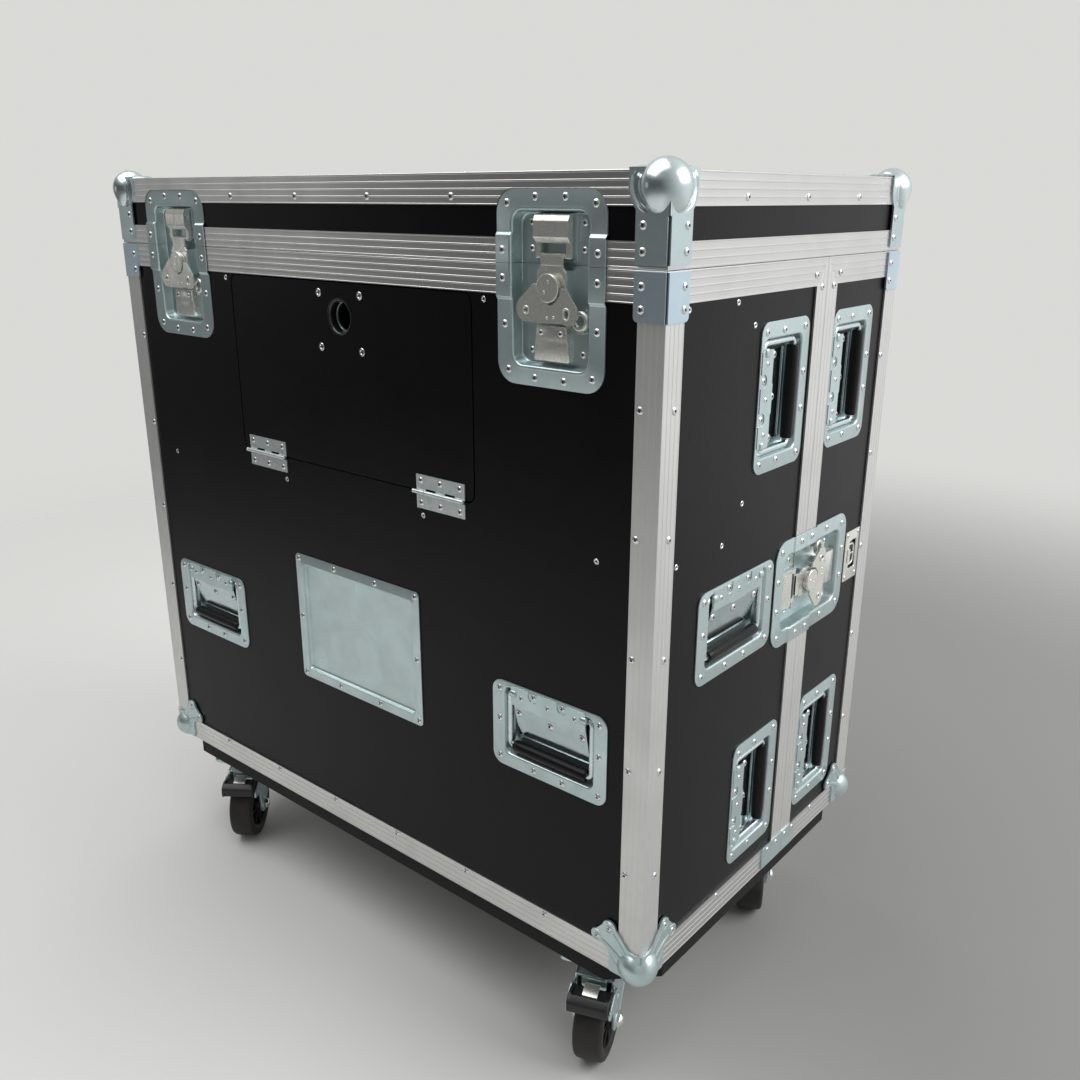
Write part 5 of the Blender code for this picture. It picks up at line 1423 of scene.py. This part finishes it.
# The rings beside the ball are (radius, height), and the valley is what lobedBall takes
ballCorner = {
    "ball": 23.5, "inset": 13.0, "proud": 1.8, "head": 29.0, "neck": 34.0, "length": 79.0, "slit": 0.75,
    "cut": 6.0, "slitTop": 28.0, "slitDepth": 1.4, "valley": (0.5, 0.10, -0.45, -0.80, 0.15),
    "rivets": [(26, 46), (26, 68)],
    "rings": [(28.4, -0.4), (28.4, 1.7), (27.4, 1.8), (26.2, 2.0), (25.2, 2.9), (24.3, 3.2), (23.4, 2.5),
              (22.5, 2.2), (21.5, 2.8), (20.6, 3.4), (19.6, 3.1), (18.4, 2.9), (16.8, 3.6), (14.8, 4.6),
              (13.4, 4.2), (13.4, -0.4)],
}
# An ear ends in two lobes, and is cut out over the post, from its lobe down to the corner
footCorner = {
    "ball": 22.5, "inset": 11.5, "rise": 15.5, "proud": 1.8, "valley": (1.5, 0.30, -0.45, 0.55),
    "lobes": [(57.5, 39.5), (41.5, 56.0)],
    "cut": [(32.2, 57), (28.6, 52.5), (24.2, 47), (20.2, 42.4), (16.6, 39.2), (12.6, 37.6), (7.5, 37.4),
            (0.2, 38.8)],
}
brace = {
    "width": 34.0, "height": 44.0, "drop": 1.0, "slit": 0.45, "slitDepth": 1.2, "proud": 1.8,
    "rivets": [(26, 13), (26, 33)],
}


# Frames on the two faces that meet at a corner: X away from the corner, Y down or up, Z out
def cornerFaces(down=True):
    fall = -1 if down else 1
    return [
        Matrix(((-1, 0, 0, 0), (0, 0, 1, 0), (0, fall, 0, 0), (0, 0, 0, 1))),
        Matrix(((0, 0, 1, 0), (-1, 0, 0, 0), (0, fall, 0, 0), (0, 0, 0, 1))),
    ]


def cornerPlace(signX, signY, height):
    yaw = {(1, 1): 0, (-1, 1): 90, (-1, -1): 180, (1, -1): 270}[(signX, signY)]
    corner = Matrix.Translation((signX * caseSize["halfWidth"], signY * caseSize["halfDepth"], height))
    return corner @ Matrix.Rotation(math.radians(yaw), 4, "Z")


# A ball pressed in two lobes, with a soft valley between them over the corner's edge. The valley is gone at
# the first of two heights, in radii, and whole at the second
def lobedBall(radius, valley, width, gone, whole, swell=0.0):
    steps, rows = 96, 48
    profile = [(radius * math.sin(math.pi * row / rows), -radius * math.cos(math.pi * row / rows))
               for row in range(rows + 1)]
    verts, faces = lathe(profile, steps)
    lobes = [Vector((0.47, 0, -0.883)), Vector((0, 0.47, -0.883))]
    shaped = []
    for vert in verts:
        flat = math.hypot(vert.x, vert.y)
        turn = math.atan2(vert.y, vert.x) - math.pi / 4
        across = flat * math.sin(turn) / radius
        outward = max(flat * math.cos(turn) / radius, 0)
        share = eased((vert.z / radius - gone) / (whole - gone))
        dent = valley * share * math.exp(-(across / width) ** 2) * min(outward * 1.6, 1)
        rise = sum(math.exp(-(vert.angle(lobe) / 0.49) ** 2) for lobe in lobes)
        shaped.append(vert * (1 - dent / radius + swell * rise))
    return shaped, faces


# The rings pressed into one face beside the ball, which fade out below it
def ballCollar(blended):
    inset, proud, stations = ballCorner["inset"], ballCorner["proud"], 96
    rows = []
    for station in range(stations):
        turn = 360 * station / stations
        above = turn - 360 if turn > 250 else turn
        past = -above if blended else max(-above, above - 90)
        share = eased((past - 16) / 16)
        if blended and above > 35:
            share = eased((above - 35) / 45)
        cosine, sine = math.cos(math.radians(turn)), math.sin(math.radians(turn))
        row = []
        for radius, rise in ballCorner["rings"]:
            rise += (min(rise, 1.6) - rise) * share
            row.append((inset + radius * cosine, inset + radius * sine, rise))
        rows.append(row)
    collar = loft(rows, False, True)
    edge = 0.15 - proud  # just inside the plates, so that no two faces lie in one plane
    for point, normal in (((edge, 0, 0), (1, 0, 0)), ((0, edge, 0), (0, 1, 0)), ((6, 6, 0), (1, 1, 0))):
        collar = clipped(collar, point, normal)
    return collar


def lidCorner():
    size = ballCorner
    inset, head, neck, slit, proud = size["inset"], size["head"], size["neck"], size["slit"], size["proud"]
    turnEnd = math.acos((neck - inset) / head)
    wide, low, cut, rim = inset + head, size["length"], size["cut"], 0.05 - proud
    outline = [(slit, cut), (cut, rim), (wide, rim), (wide, inset)]
    outline += arc((inset, inset), head, 4, math.degrees(turnEnd), 10)
    outline += [(neck, inset + head * math.sin(turnEnd) + 2)]
    outline += arc((neck - 3, low - 3), 3, 0, 90, 5) + [(slit, low)]
    flat, collar = plate(outline, -0.4, proud), ballCollar(True)
    plates = [moved(flat, face) for face in cornerFaces()]
    collars = [moved(collar, face) for face in cornerFaces()]
    top = [(rim, cut), (cut, rim), (wide, rim), (wide, inset)] + arc((inset, inset), head, 4, 86, 14)
    top += [(inset, wide), (rim, wide)]
    topFace = Matrix.Diagonal((-1, -1, 1, 1))
    plates.append(moved(plate(top, -0.4, proud), topFace))
    collars.append(moved(ballCollar(False), topFace))
    ball = shifted(lobedBall(size["ball"], *size["valley"]), -inset, -inset, -inset)
    return joined(*plates), joined(ball, *collars)


# A dark strip in the slit between two plates, down the corner's edge. Its dark colour is painted shade, where
# the slit would be shaded
def slitShade(low, high, reach):
    return prism([(0.15, -reach), (0.15, 0.15), (-reach, 0.15), (-reach, -reach)], low, high)


def bodyBrace():
    width, height, slit = brace["width"], brace["height"], brace["slit"]
    outline = [(slit, 0), (width, 0)] + arc((width - 5, height - 5), 5, 0, 90, 6) + [(slit, height)]
    flat = plate(outline, -0.4, brace["proud"])
    return joined(*[moved(flat, face) for face in cornerFaces()])


def footEar():
    outer, upper = footCorner["lobes"]
    outline = [(0.2, 1.2), (39.5, 1.2), (41, 3.5), (41.5, 14), (41.2, 24), (43.5, 29), (49, 32)]
    outline += arc(outer, 8.2, -60, 80, 8) + arc(upper, 9.0, 8, 180, 12) + footCorner["cut"]
    return plate(outline, -1.0, footCorner["proud"])


# Soft ridges pressed into an ear, from the ball out to its two lobes, and the raised edge over the post
def earRidges():
    shapes = []
    for path, widths in (
        ([(20, 20), (31, 27), (43, 33.5), (53, 38)], [3.0, 4.4, 4.2, 2.2]),
        ([(16, 28), (24, 37), (32, 46), (39, 54)], [3.0, 4.4, 4.2, 2.2]),
        ([(22, 10), (31, 13), (36, 17), (40, 24)], [2.6, 3.4, 2.8, 1.6]),
    ):
        points = [(x, y, footCorner["proud"] - width * 0.74) for (x, y), width in zip(path, widths)]
        shapes.append(tube(points, widths, 14))
    for x, y in footCorner["lobes"]:
        shapes.append(shifted(lathe([(7.4, 1.5), (7.0, 2.3), (6.2, 2.5), (5.4, 2.2), (4.6, 1.6)], 24), x, y))
    edge = [(x, y, footCorner["proud"] - 0.35) for x, y in footCorner["cut"]]
    shapes.append(tube(edge, 1.0, 8))
    return joined(*shapes)


def footShapes():
    inset = footCorner["inset"]
    ball = shifted(lobedBall(footCorner["ball"], *footCorner["valley"]), -inset, -inset, footCorner["rise"])
    ear, ridges = footEar(), earRidges()
    faces = cornerFaces(False)
    ears = joined(*[moved(ear, face) for face in faces])
    return ears, joined(ball, *[moved(ridges, face) for face in faces])


def makeCorners():
    plates, balls = lidCorner()
    ears, feet = footShapes()
    braces = bodyBrace()
    lidSlitShade = slitShade(-ballCorner["length"], -ballCorner["slitTop"], ballCorner["slitDepth"])
    braceSlitShade = slitShade(-brace["height"], 0, brace["slitDepth"])
    for depth, signY, body, node in (
        ("front", -1, "case", "body_frame"), ("back", 1, "rear_cover", "rear_frame"),
    ):
        for side, signX in sides.items():
            name = f"{depth}_{side}"
            top = cornerPlace(signX, signY, caseSize["top"])
            rim = cornerPlace(signX, signY, caseSize["bodyTop"] - brace["drop"])
            foot = cornerPlace(signX, signY, caseSize["bottom"])
            corner = [f"lid_corner_{name}"]
            newPiece(f"lid_corner_plates_{name}", moved(plates, top), "lid", "zinc", corner, bevel=0.4)
            newPiece(f"lid_corner_ball_{name}", moved(balls, top), "lid", "ball", corner, smooth=45)
            # The dark strips in the slits are painted shade
            newPiece(f"lid_corner_slit_{name}", moved(lidSlitShade, top), "lid", "paintedShade", corner)
            newPiece(f"body_brace_{name}", moved(braces, rim), body, "blueZinc", [node], bevel=0.4)
            newPiece(f"body_brace_slit_shade_{name}", moved(braceSlitShade, rim), body, "paintedShade", [node])
            newPiece(
                f"foot_corner_ears_{name}", moved(ears, foot), body, "zinc", [node], bevel=0.5, segments=3,
            )
            newPiece(f"foot_corner_ball_{name}", moved(feet, foot), body, "zinc", [node], smooth=45)
            for face in cornerFaces():
                addRivets("lid", top @ face, ballCorner["rivets"], ballCorner["proud"])
            for face in cornerFaces():
                addRivets(body, rim @ face, brace["rivets"], brace["proud"])
            for face in cornerFaces(False):
                addRivets(body, foot @ face, footCorner["lobes"], footCorner["proud"], 0.9)


# Each half as its reach from the seam's middle and the places of its rivets
seamPlate = {
    "rise": 2.6, "height": 30.0, "proud": 1.8, "rivetHeight": 23.0,
    "case": (-50.0, (-38, -15.5)), "rear_cover": (35.0, (8, 28)),
    "topRivets": [(27, -18.1), (12.5, -30.9)], "coverShift": 4.0,
}


def makeSeamPlates():
    for side, sign in sides.items():
        place = onFace(side, sign * caseSize["seamMiddle"], caseSize["bottom"] + seamPlate["rise"])
        for body, node in (("case", "body_frame"), ("rear_cover", "rear_frame")):
            reach, spots = seamPlate[body]
            near, far = sorted((sign * reach, sign * math.copysign(gap / 2, reach)))
            shape = plate(rounded((near, 0), (far, seamPlate["height"]), 1.0, 3), -0.4, seamPlate["proud"])
            newPiece(f"seam_plate_{body}_{side}", moved(shape, place), body, "zinc", [node], bevel=0.4)
            spots = [(sign * across, seamPlate["rivetHeight"]) for across in spots]
            addRivets(body, place, spots, seamPlate["proud"])
        top = onFace(side, sign * caseSize["seamMiddle"], caseSize["bodyTop"])
        for across, height in seamPlate["topRivets"]:
            addRivets("case", top, [(-sign * across, height)], 0, 0.95)
            addRivets("rear_cover", top, [(sign * (across + seamPlate["coverShift"]), height)], 0, 0.95)


# Along each rail from its middle, and up each post from the bottom
railRivets = {
    "lidFront": (-185.5, -61, 62, 187), "lidSide": (-123, 1, 124.6), "lidDrop": 22.5,
    "post": (130.5, 255, 379.5, 503.7, 627), "postInset": 24.5, "frontInset": 20.0, "backInset": 24.0,
    "bottomFront": (-310.5, -186, -61, 62, 186, 310.5), "bottomSide": {"case": -98, "rear_cover": 147},
    "bottomRise": 26.5, "sink": -0.3,
}


def addRailRivet(body, face, across, height):
    addRivets(body, onFace(face, across, height), [(0, 0)], railRivets["sink"])


def scatterRivets():
    bottom, halfW, halfD = caseSize["bottom"], caseSize["halfWidth"], caseSize["halfDepth"]
    drop, posts = railRivets["lidDrop"], [bottom + height for height in railRivets["post"]]
    for face in faceYaw:
        wide = face in ("front", "back")
        for across in railRivets["lidFront" if wide else "lidSide"]:
            addRailRivet("lid", face, across, caseSize["top"] - drop)
            inward = (halfD if wide else halfW) - drop
            turn = Matrix.Rotation(math.radians(faceYaw[face]), 4, "Z")
            top = turn @ Matrix.Translation((across, -inward, caseSize["top"]))
            addRivets("lid", top, [(0, 0)], railRivets["sink"])
        if wide:
            body = "rear_cover" if face == "back" else "case"
            for across in railRivets["bottomFront"]:
                addRailRivet(body, face, across, bottom + railRivets["bottomRise"])
            for sign in (-1, 1):
                for height in posts:
                    addRailRivet(body, face, sign * (halfW - railRivets["postInset"]), height)
            continue
        sign = sides[face]
        for height in posts:
            addRailRivet("case", face, sign * (railRivets["frontInset"] - halfD), height)
            addRailRivet("rear_cover", face, sign * (halfD - railRivets["backInset"]), height)
        for body, across in railRivets["bottomSide"].items():
            addRailRivet(body, face, sign * across, bottom + railRivets["bottomRise"])


# Screws in the panels, measured from the case's lower front left corner
panelScrews = {
    "front": [(231.7, 715), (672.3, 714.5), (327, 470), (575, 470.5), (818.5, 471), (75, 468)],
    "side": [(41, 715), (129, 715.5), (165, 691), (161, 508), (124, 471), (38.5, 471)],
}


def scatterScrews():
    inset = -caseSize["panelInset"]
    place = onFace("front", -caseSize["halfWidth"], caseSize["bottom"])
    addScrews("case", place, panelScrews["front"], inset)
    for side, sign in sides.items():
        place = onFace(side, -sign * caseSize["halfDepth"], caseSize["bottom"])
        addScrews("case", place, [(sign * x, y) for x, y in panelScrews["side"]], inset)


makeCorners()
makeSeamPlates()
scatterRivets()
scatterScrews()
print("corners made")


# Castor board and castors

castor = {
    "boardHalf": (441.0, 250.0), "boardCut": 47.0, "boardLow": 135.0, "boardHigh": 157.3,
    "across": 353.0, "front": -188.0, "back": 170.0,
    "yaw": {"front_left": 37.5, "front_right": 21.0, "back_left": 28.0, "back_right": 28.0},
    "plate": (42.5, 52.5), "plateLow": 132.0, "bolt": (33.0, 42.0), "boltHead": 6.2, "washer": 7.4,
    "trail": -35.0, "axle": 50.0, "wheel": 50.0, "tread": 36.0,
    "leg": (20.5, 23.2), "crown": (114.7, 117.7), "forkFront": -52.0, "forkBack": 24.0,
    "pivot": (-46.0, 94.0), "pedalArm": (24.6, 26.6),
}


def castorPlaces():
    places = {}
    for depth in ("front", "back"):
        for side, sign in sides.items():
            name = f"{depth}_{side}"
            turn = Matrix.Rotation(math.radians(castor["yaw"][name]), 4, "Z")
            places[name] = Matrix.Translation((sign * castor["across"], castor[depth], 0)) @ turn
    return places


# Turned about the wheel's axle, or another line along X
def turnedOnX(profile, steps, y, z):
    return shifted(turnedBy(lathe(profile, steps), 90, "Y"), y=y, z=z)


def hexagon(radius, low, high):
    outline = arc((0, 0), radius, 0, 300, 5)
    soft = [(x * 0.93, y * 0.93) for x, y in outline]
    return loft([[(x, y, low) for x, y in outline], [(x, y, high - 0.7) for x, y in outline],
                 [(x, y, high) for x, y in soft]])


def boardShape():
    (x, y), cut = castor["boardHalf"], castor["boardCut"]
    corners = [(cut - x, -y), (x - cut, -y), (x, cut - y), (x, y - cut), (x - cut, y), (cut - x, y),
               (-x, y - cut), (-x, cut - y)]
    return prism(corners, castor["boardLow"], castor["boardHigh"])


# One leg of the fork, drawn as (y, z), with its edge turned outwards
def forkLeg(sign):
    inner, outer = castor["leg"]
    y, z = castor["trail"], castor["axle"]
    top, front = castor["crown"][1], castor["forkFront"]
    outline = [(castor["forkBack"], top), (front, top), (front - 3, top - 16)]
    outline += arc((y, z), 13, 185, 345, 12) + [(-13, 66), (4, 86), (19, 104)]
    leg = loft([[(sign * level, a, b) for a, b in outline] for level in (inner, outer)])
    edges = []
    for path, radius in (
        (filleted([(0, -53.5, 112), (0, -54, 101.7), (0, -47.6, 52)], 6, 4), 1.5),
        ([(0, -22.6, 53), (0, -12, 67), (0, 3, 86.5), (0, 17, 104)], 1.3),
    ):
        edges.append(shifted(tube(path, radius, 8), sign * outer))
    boss = turnedOnX([
        (0, outer - 0.5), (10.2, outer - 0.5), (10.2, outer + 0.5), (9.4, outer + 1.2), (0, outer + 1.2),
    ], 28, y, z)
    return joined(leg, *edges, mirroredX(boss, sign))


def forkShapes():
    low, high = castor["crown"]
    front, back, outer = castor["forkFront"], castor["forkBack"], castor["leg"][1]
    y, z = castor["trail"], castor["axle"]
    crown = plate(rounded((-outer, front), (outer, back), 5, 5), low, high)
    apron = turnedBy(prism(rounded((-15, 0), (15, 13.5), 2.5, 4), 0, 2.2), 90, "X")
    race = lathe([
        (0, high), (27, high), (27, high + 3.6), (26.2, high + 4.6), (24.2, high + 5.2), (24.2, high + 6.6),
        (26.4, high + 7.4), (27, high + 8.6), (26.2, high + 11), (22.5, high + 13.6), (0, high + 13.6),
    ], 48)
    cone = lathe([
        (0, low - 7), (9, low - 7), (11, low - 6), (14.5, low - 2.5), (16.5, low + 0.2), (0, low + 0.2),
    ], 32)
    start = outer + 1.1
    dome = lathe([
        (0, start + 4), (6.6, start + 4), (6.0, start + 5.4), (4.2, start + 6.8), (2.0, start + 7.5),
        (0, start + 7.7),
    ], 24)
    nut = joined(hexagon(8.2, start, start + 4.4), dome)
    nuts = [shifted(turnedBy(nut, 90 * sign, "Y"), y=y, z=z) for sign in (-1, 1)]
    axle = turnedOnX([(0, -outer), (5, -outer), (5, outer), (0, outer)], 20, y, z)
    fork = joined(crown, shifted(apron, y=front, z=103.5), race, cone, forkLeg(-1), forkLeg(1))
    return fork, joined(*nuts, axle)


def wheelShapes():
    half, radius = castor["tread"] / 2, castor["wheel"]
    y, z = castor["trail"], castor["axle"]
    outer = []
    for inward, drop in ((2.5, 13.5), (0.6, 11.5), (0, 8.5), (0.3, 5.0), (1.6, 2.0), (4.2, 0.5), (7.5, 0.1),
                         (half, 0)):
        outer.append((radius - drop, inward - half))
    inner = [(36.5, half - 2.5), (35.5, half - 4), (35.5, 4 - half), (36.5, 2.5 - half)]
    tyre = turnedOnX(outer + [(r, -x) for r, x in reversed(outer[:-1])] + inner, 72, y, z)
    rim = [(36.4, 3.0 - half), (34.6, 3.2 - half), (33.2, 8.5 - half), (30, 10 - half), (17, 10.5 - half),
           (13.5, 8.0 - half), (12.5, -half - 0.8), (5.4, -half - 1.6)]
    hub = turnedOnX(rim + [(r, -x) for r, x in reversed(rim)] + [rim[0]], 60, y, z)
    ribs = []
    for sign in (-1, 1):
        near, far = sorted((sign * 7.6, sign * 14.6))
        for index in range(8):
            rib = turnedBy(block((near, -1.2, 13), (far, 1.2, 33.6)), index * 45, "X")
            ribs.append(shifted(rib, y=y, z=z))
    return tyre, joined(hub, *ribs)


# The brake pedal, drawn from its pivot as (y, z): the moulded tread with a sunk panel on top, its side
# arms and the bent tab
def pedalShapes():
    y, z = castor["pivot"]
    # the last value is the share of the panel's depth
    top = [(-11.5, 10.5, 0), (-11.5, 14.6, 0.85), (-13.5, 15.6, 1), (-28, 16.4, 1), (-31.5, 15.4, 0)]
    rest = [(-38.4, 10.8), (-39.7, 8.6), (-39.9, -0.6), (-39.0, -2.4), (-36.8, -2.0), (-36.2, 2.6),
            (-33.5, 7.2), (-28, 9.6), (-13.5, 9.0)]
    sections = []
    for x, shrink, sunk in ((-24.4, 1.2, 0), (-23.8, 0.3, 0), (-23.2, 0, 0), (-20.6, 0, 0), (-19.4, 0, 3.2),
                            (19.4, 0, 3.2), (20.6, 0, 0), (23.2, 0, 0), (23.8, 0.3, 0), (24.4, 1.2, 0)):
        ring = []
        for a, b, share in top:
            ring.append((x, y + a * (1 - shrink / 30) - shrink * 0.4, z + b - sunk * share - shrink * 0.5))
        for a, b in rest:
            ring.append((x, y + a * (1 - shrink / 30), z + b * (1 - shrink / 40)))
        sections.append(ring)
    near, far = castor["pedalArm"]
    side = [
        (6.5, -5.5), (6.5, 5.5), (-3, 14.0), (-13, 13.5), (-34, 1.5), (-34, -8.5), (-25, -9.5), (-7, -6.5),
    ]
    side = [(point.x, point.y) for point in filleted([(a, b, 0) for a, b in side], 3.6, 4)]
    pin = turnedOnX([
        (0, far - 0.4), (4.2, far - 0.4), (4.2, far + 0.5), (3.2, far + 1.4), (0, far + 1.7),
    ], 20, y, z)
    rim = [(-2, 13.4), (-13, 13.3), (-30, 3.6), (-33.6, -3)]
    arms = []
    for sign in (-1, 1):
        edge = [(sign * (far - 0.4), y + a, z + b) for a, b in rim]
        arms.append(tube(filleted(edge, 4, 4), 0.8, 8))
        arms.append(loft([[(sign * level, y + a, z + b) for a, b in side] for level in (near, far)]))
        arms.append(mirroredX(pin, sign))
    bent = [(-27.5, 13.3), (-27.2, 14.3), (-16.0, 19.4), (-11.0, 19.0), (-11.1, 18.0), (-15.8, 18.3),
            (-26.6, 13.2)]
    tab = loft([[(x, y + a, z + b) for a, b in bent] for x in (-9.0, 9.0)])
    return loft(sections), joined(*arms), tab


def boltShape():
    washer = lathe([(0, 0), (castor["washer"], 0), (castor["washer"], 0.9), (7.0, 1.1), (0, 1.1)], 20)
    head = shifted(hexagon(castor["boltHead"], 0, 4.2), z=1)
    return turnedBy(joined(head, washer), 180, "X")


def makeCastors():
    newPiece("castor_deck", boardShape(), "case", "board", ["castor_board"], bevel=1.2, segments=3)
    fork, nuts = forkShapes()
    tyre, hub = wheelShapes()
    tread, arms, tab = pedalShapes()
    pad = plate(rounded(*centred(*castor["plate"]), 5, 5), castor["plateLow"], castor["boardLow"] + 1)
    head = boltShape()
    plates, bolts = [], []
    for name, place in castorPlaces().items():
        plates.append(moved(pad, place))
        for signX in (-1, 1):
            for signY in (-1, 1):
                x, y = signX * castor["bolt"][0], signY * castor["bolt"][1]
                bolts.append(moved(shifted(head, x, y, castor["plateLow"]), place))
        body = f"castor_fork_{name}"
        newPiece(f"fork_{name}", moved(fork, place), body, "zinc", [body], bevel=0.5)
        newPiece(f"axle_nuts_{name}", moved(nuts, place), body, "rivet", [body], smooth=30)
        body = f"castor_wheel_{name}"
        newPiece(f"tyre_{name}", moved(tyre, place), body, "tyre", [body], smooth=40)
        newPiece(f"wheel_hub_{name}", moved(hub, place), body, "pedal", [body], smooth=35)
        if name.startswith("front"):
            body = f"brake_pedal_{name}"
            newPiece(f"pedal_tread_{name}", moved(tread, place), body, "pedal", [body], bevel=0.5)
            newPiece(f"pedal_arms_{name}", moved(arms, place), body, "zinc", [body], bevel=0.4)
            newPiece(f"pedal_tab_{name}", moved(tab, place), body, "nickel", [body], bevel=0.3)
    newPiece("castor_plates", joined(*plates), "case", "zinc", ["castor_board"], bevel=0.5)
    newPiece("castor_bolts", joined(*bolts), "case", "rivet", ["castor_board"], smooth=30)


makeCastors()
print("castors made")


# Stage, light and camera

# paintedFloorShade is the colour of the painted shade on the floor's darker side
stage = {
    "floorLight": (0.66, 0.66, 0.64), "paintedFloorShade": (0.245, 0.245, 0.238), "background": (0.70, 0.70, 0.68),
    "near": 1.2, "far": 3.0, "roomDark": 0.11, "roomLight": 1.10, "roomBelow": 0.20, "roomAbove": 0.46,
}


# A share from 0 to 1, or up to high, as a value passes from start to end
def newRamp(tree, start, end, high=1.0, kind="SMOOTHSTEP", low=0.0):
    values = {"From Min": start, "From Max": end, "To Min": low, "To Max": high}
    return newNode(tree, "MapRange", values, interpolation_type=kind)


# The floor's colour is painted darker to one side: a painted shade that the camera sees at full strength and
# other rays at about two thirds of it. The floor fades out into the background
def makeFloor():
    mesh = bpy.data.meshes.new("stage_floor")
    bm = bmesh.new()
    bmesh.ops.create_circle(bm, cap_ends=True, segments=96, radius=stage["far"] + 0.3)
    bm.to_mesh(mesh)
    bm.free()
    floor = bpy.data.objects.new("stage_floor", mesh)
    bpy.context.scene.collection.objects.link(floor)
    made = bpy.data.materials.new("stageFloor")
    made.use_nodes = True
    tree = made.node_tree
    shader = tree.nodes["Principled BSDF"]
    shader.inputs["Roughness"].default_value = 0.75
    coords = newNode(tree, "TexCoord")
    path = newNode(tree, "LightPath")
    across = newNode(tree, "VectorMath", {1: (0.8, 0.6, 0)}, operation="DOT_PRODUCT")
    shade = newRamp(tree, -0.25, 0.60)
    share = newRamp(tree, 0.0, 1.0, kind="LINEAR", low=0.65)
    dimmed = newNode(tree, "Math", operation="MULTIPLY")
    colours = {"A": (*stage["floorLight"], 1), "B": (*stage["paintedFloorShade"], 1)}
    tone = newNode(tree, "Mix", colours, data_type="RGBA")
    clear = newNode(tree, "BsdfTransparent")
    distance = newNode(tree, "VectorMath", operation="LENGTH")
    fade = newRamp(tree, stage["near"], stage["far"])
    mix = newNode(tree, "MixShader")
    linkNodes(
        tree,
        (coords, "Object", across, 0), (across, "Value", shade, "Value"),
        (path, "Is Camera Ray", share, "Value"),
        (shade, "Result", dimmed, 0), (share, "Result", dimmed, 1), (dimmed, "Value", tone, "Factor"),
        (tone, "Result", shader, "Base Color"), (coords, "Object", distance, 0),
        (distance, "Value", fade, "Value"), (fade, "Result", mix, "Fac"), (shader, "BSDF", mix, 1),
        (clear, "BSDF", mix, 2), (mix, "Shader", tree.nodes["Material Output"], "Surface"),
    )
    mesh.materials.append(made)


# A dim room, brighter to one side, below and above. The camera sees a plain background, and so do
# mirrored rays that run away from the camera
def makeWorld():
    world = bpy.data.worlds.new("studio")
    bpy.context.scene.world = world
    world.use_nodes = True
    tree = world.node_tree
    tree.nodes.clear()
    output = newNode(tree, "OutputWorld")
    coords = newNode(tree, "TexCoord")
    path = newNode(tree, "LightPath")
    lit = newNode(tree, "VectorMath", {1: (0.45, 0.80, 0.25)}, operation="DOT_PRODUCT")
    level = newRamp(tree, -0.75, 0.75, stage["roomLight"], "LINEAR", stage["roomDark"])
    heights = newNode(tree, "SeparateXYZ")
    below = newRamp(tree, -0.02, -0.22, stage["roomBelow"])
    above = newRamp(tree, 0.12, 0.55, stage["roomAbove"])
    lower = newNode(tree, "Math", operation="MAXIMUM")
    brightest = newNode(tree, "Math", operation="MAXIMUM")
    room = newNode(tree, "Background")
    shown = newNode(tree, "Background", {"Color": (*stage["background"], 1)})
    mirrored = newNode(tree, "Math", operation="MAXIMUM")
    facing = newNode(tree, "VectorMath", {1: (-0.64, 0.77, 0)}, operation="DOT_PRODUCT")
    behind = newRamp(tree, 0.45, 0.80)
    backed = newNode(tree, "Math", operation="MULTIPLY")
    seen = newNode(tree, "Math", operation="MAXIMUM")
    mix = newNode(tree, "MixShader")
    linkNodes(
        tree,
        (path, "Is Glossy Ray", mirrored, 0), (path, "Is Transmission Ray", mirrored, 1),
        (coords, "Generated", facing, 0), (facing, "Value", behind, "Value"), (mirrored, "Value", backed, 0),
        (behind, "Result", backed, 1), (path, "Is Camera Ray", seen, 0), (backed, "Value", seen, 1),
        (coords, "Generated", lit, 0), (lit, "Value", level, "Value"),
        (coords, "Generated", heights, "Vector"),
        (heights, "Z", below, "Value"), (heights, "Z", above, "Value"), (level, "Result", lower, 0),
        (below, "Result", lower, 1), (lower, "Value", brightest, 0), (above, "Result", brightest, 1),
        (brightest, "Value", room, "Strength"), (seen, "Value", mix, "Fac"), (room, "Background", mix, 1),
        (shown, "Background", mix, 2), (mix, "Shader", output, "Surface"),
    )


def areaLight(name, location, target, size, power):
    data = bpy.data.lights.new(name, "AREA")
    data.shape = "RECTANGLE"
    data.size, data.size_y = size
    data.energy = power
    lamp = bpy.data.objects.new(name, data)
    lamp.location = location
    lamp.rotation_euler = (Vector(target) - Vector(location)).to_track_quat("-Z", "Y").to_euler()
    bpy.context.scene.collection.objects.link(lamp)


# Turned left from the case's back, tipped down and rolled, in degrees
camera = {"place": (0.9463, -1.0233, 0.9679), "yaw": 39.895, "pitch": 18.287, "roll": 0.108, "lens": 34.524}


def makeCamera():
    data = bpy.data.cameras.new("camera")
    data.sensor_width = 36.0
    data.lens = camera["lens"]
    data.clip_start, data.clip_end = 0.05, 50
    made = bpy.data.objects.new("camera", data)
    yaw, pitch, roll = (math.radians(camera[turn]) for turn in ("yaw", "pitch", "roll"))
    forward = Vector((-math.sin(yaw) * math.cos(pitch), math.cos(yaw) * math.cos(pitch), -math.sin(pitch)))
    right = Vector((math.cos(yaw), math.sin(yaw), 0))
    up = right.cross(forward)
    turnedRight = math.cos(roll) * right + math.sin(roll) * up
    turnedUp = math.cos(roll) * up - math.sin(roll) * right
    rotation = Matrix((turnedRight, turnedUp, -forward)).transposed()
    made.matrix_world = Matrix.Translation(camera["place"]) @ rotation.to_4x4()
    bpy.context.scene.collection.objects.link(made)
    bpy.context.scene.camera = made


makeFloor()
makeWorld()
areaLight("key", (2.6, 1.1, 2.3), (0.1, 0, 0.5), (2.4, 1.8), 68)
areaLight("overhead", (-0.8, -0.9, 3.2), (-0.1, -0.1, 0.5), (3.0, 3.0), 64)
areaLight("window", (-4.6, -3.2, 1.05), (0, 0, 0.7), (1.5, 1.3), 3)
makeCamera()
bpy.context.scene.view_settings.view_transform = "Standard"

buildFasteners()
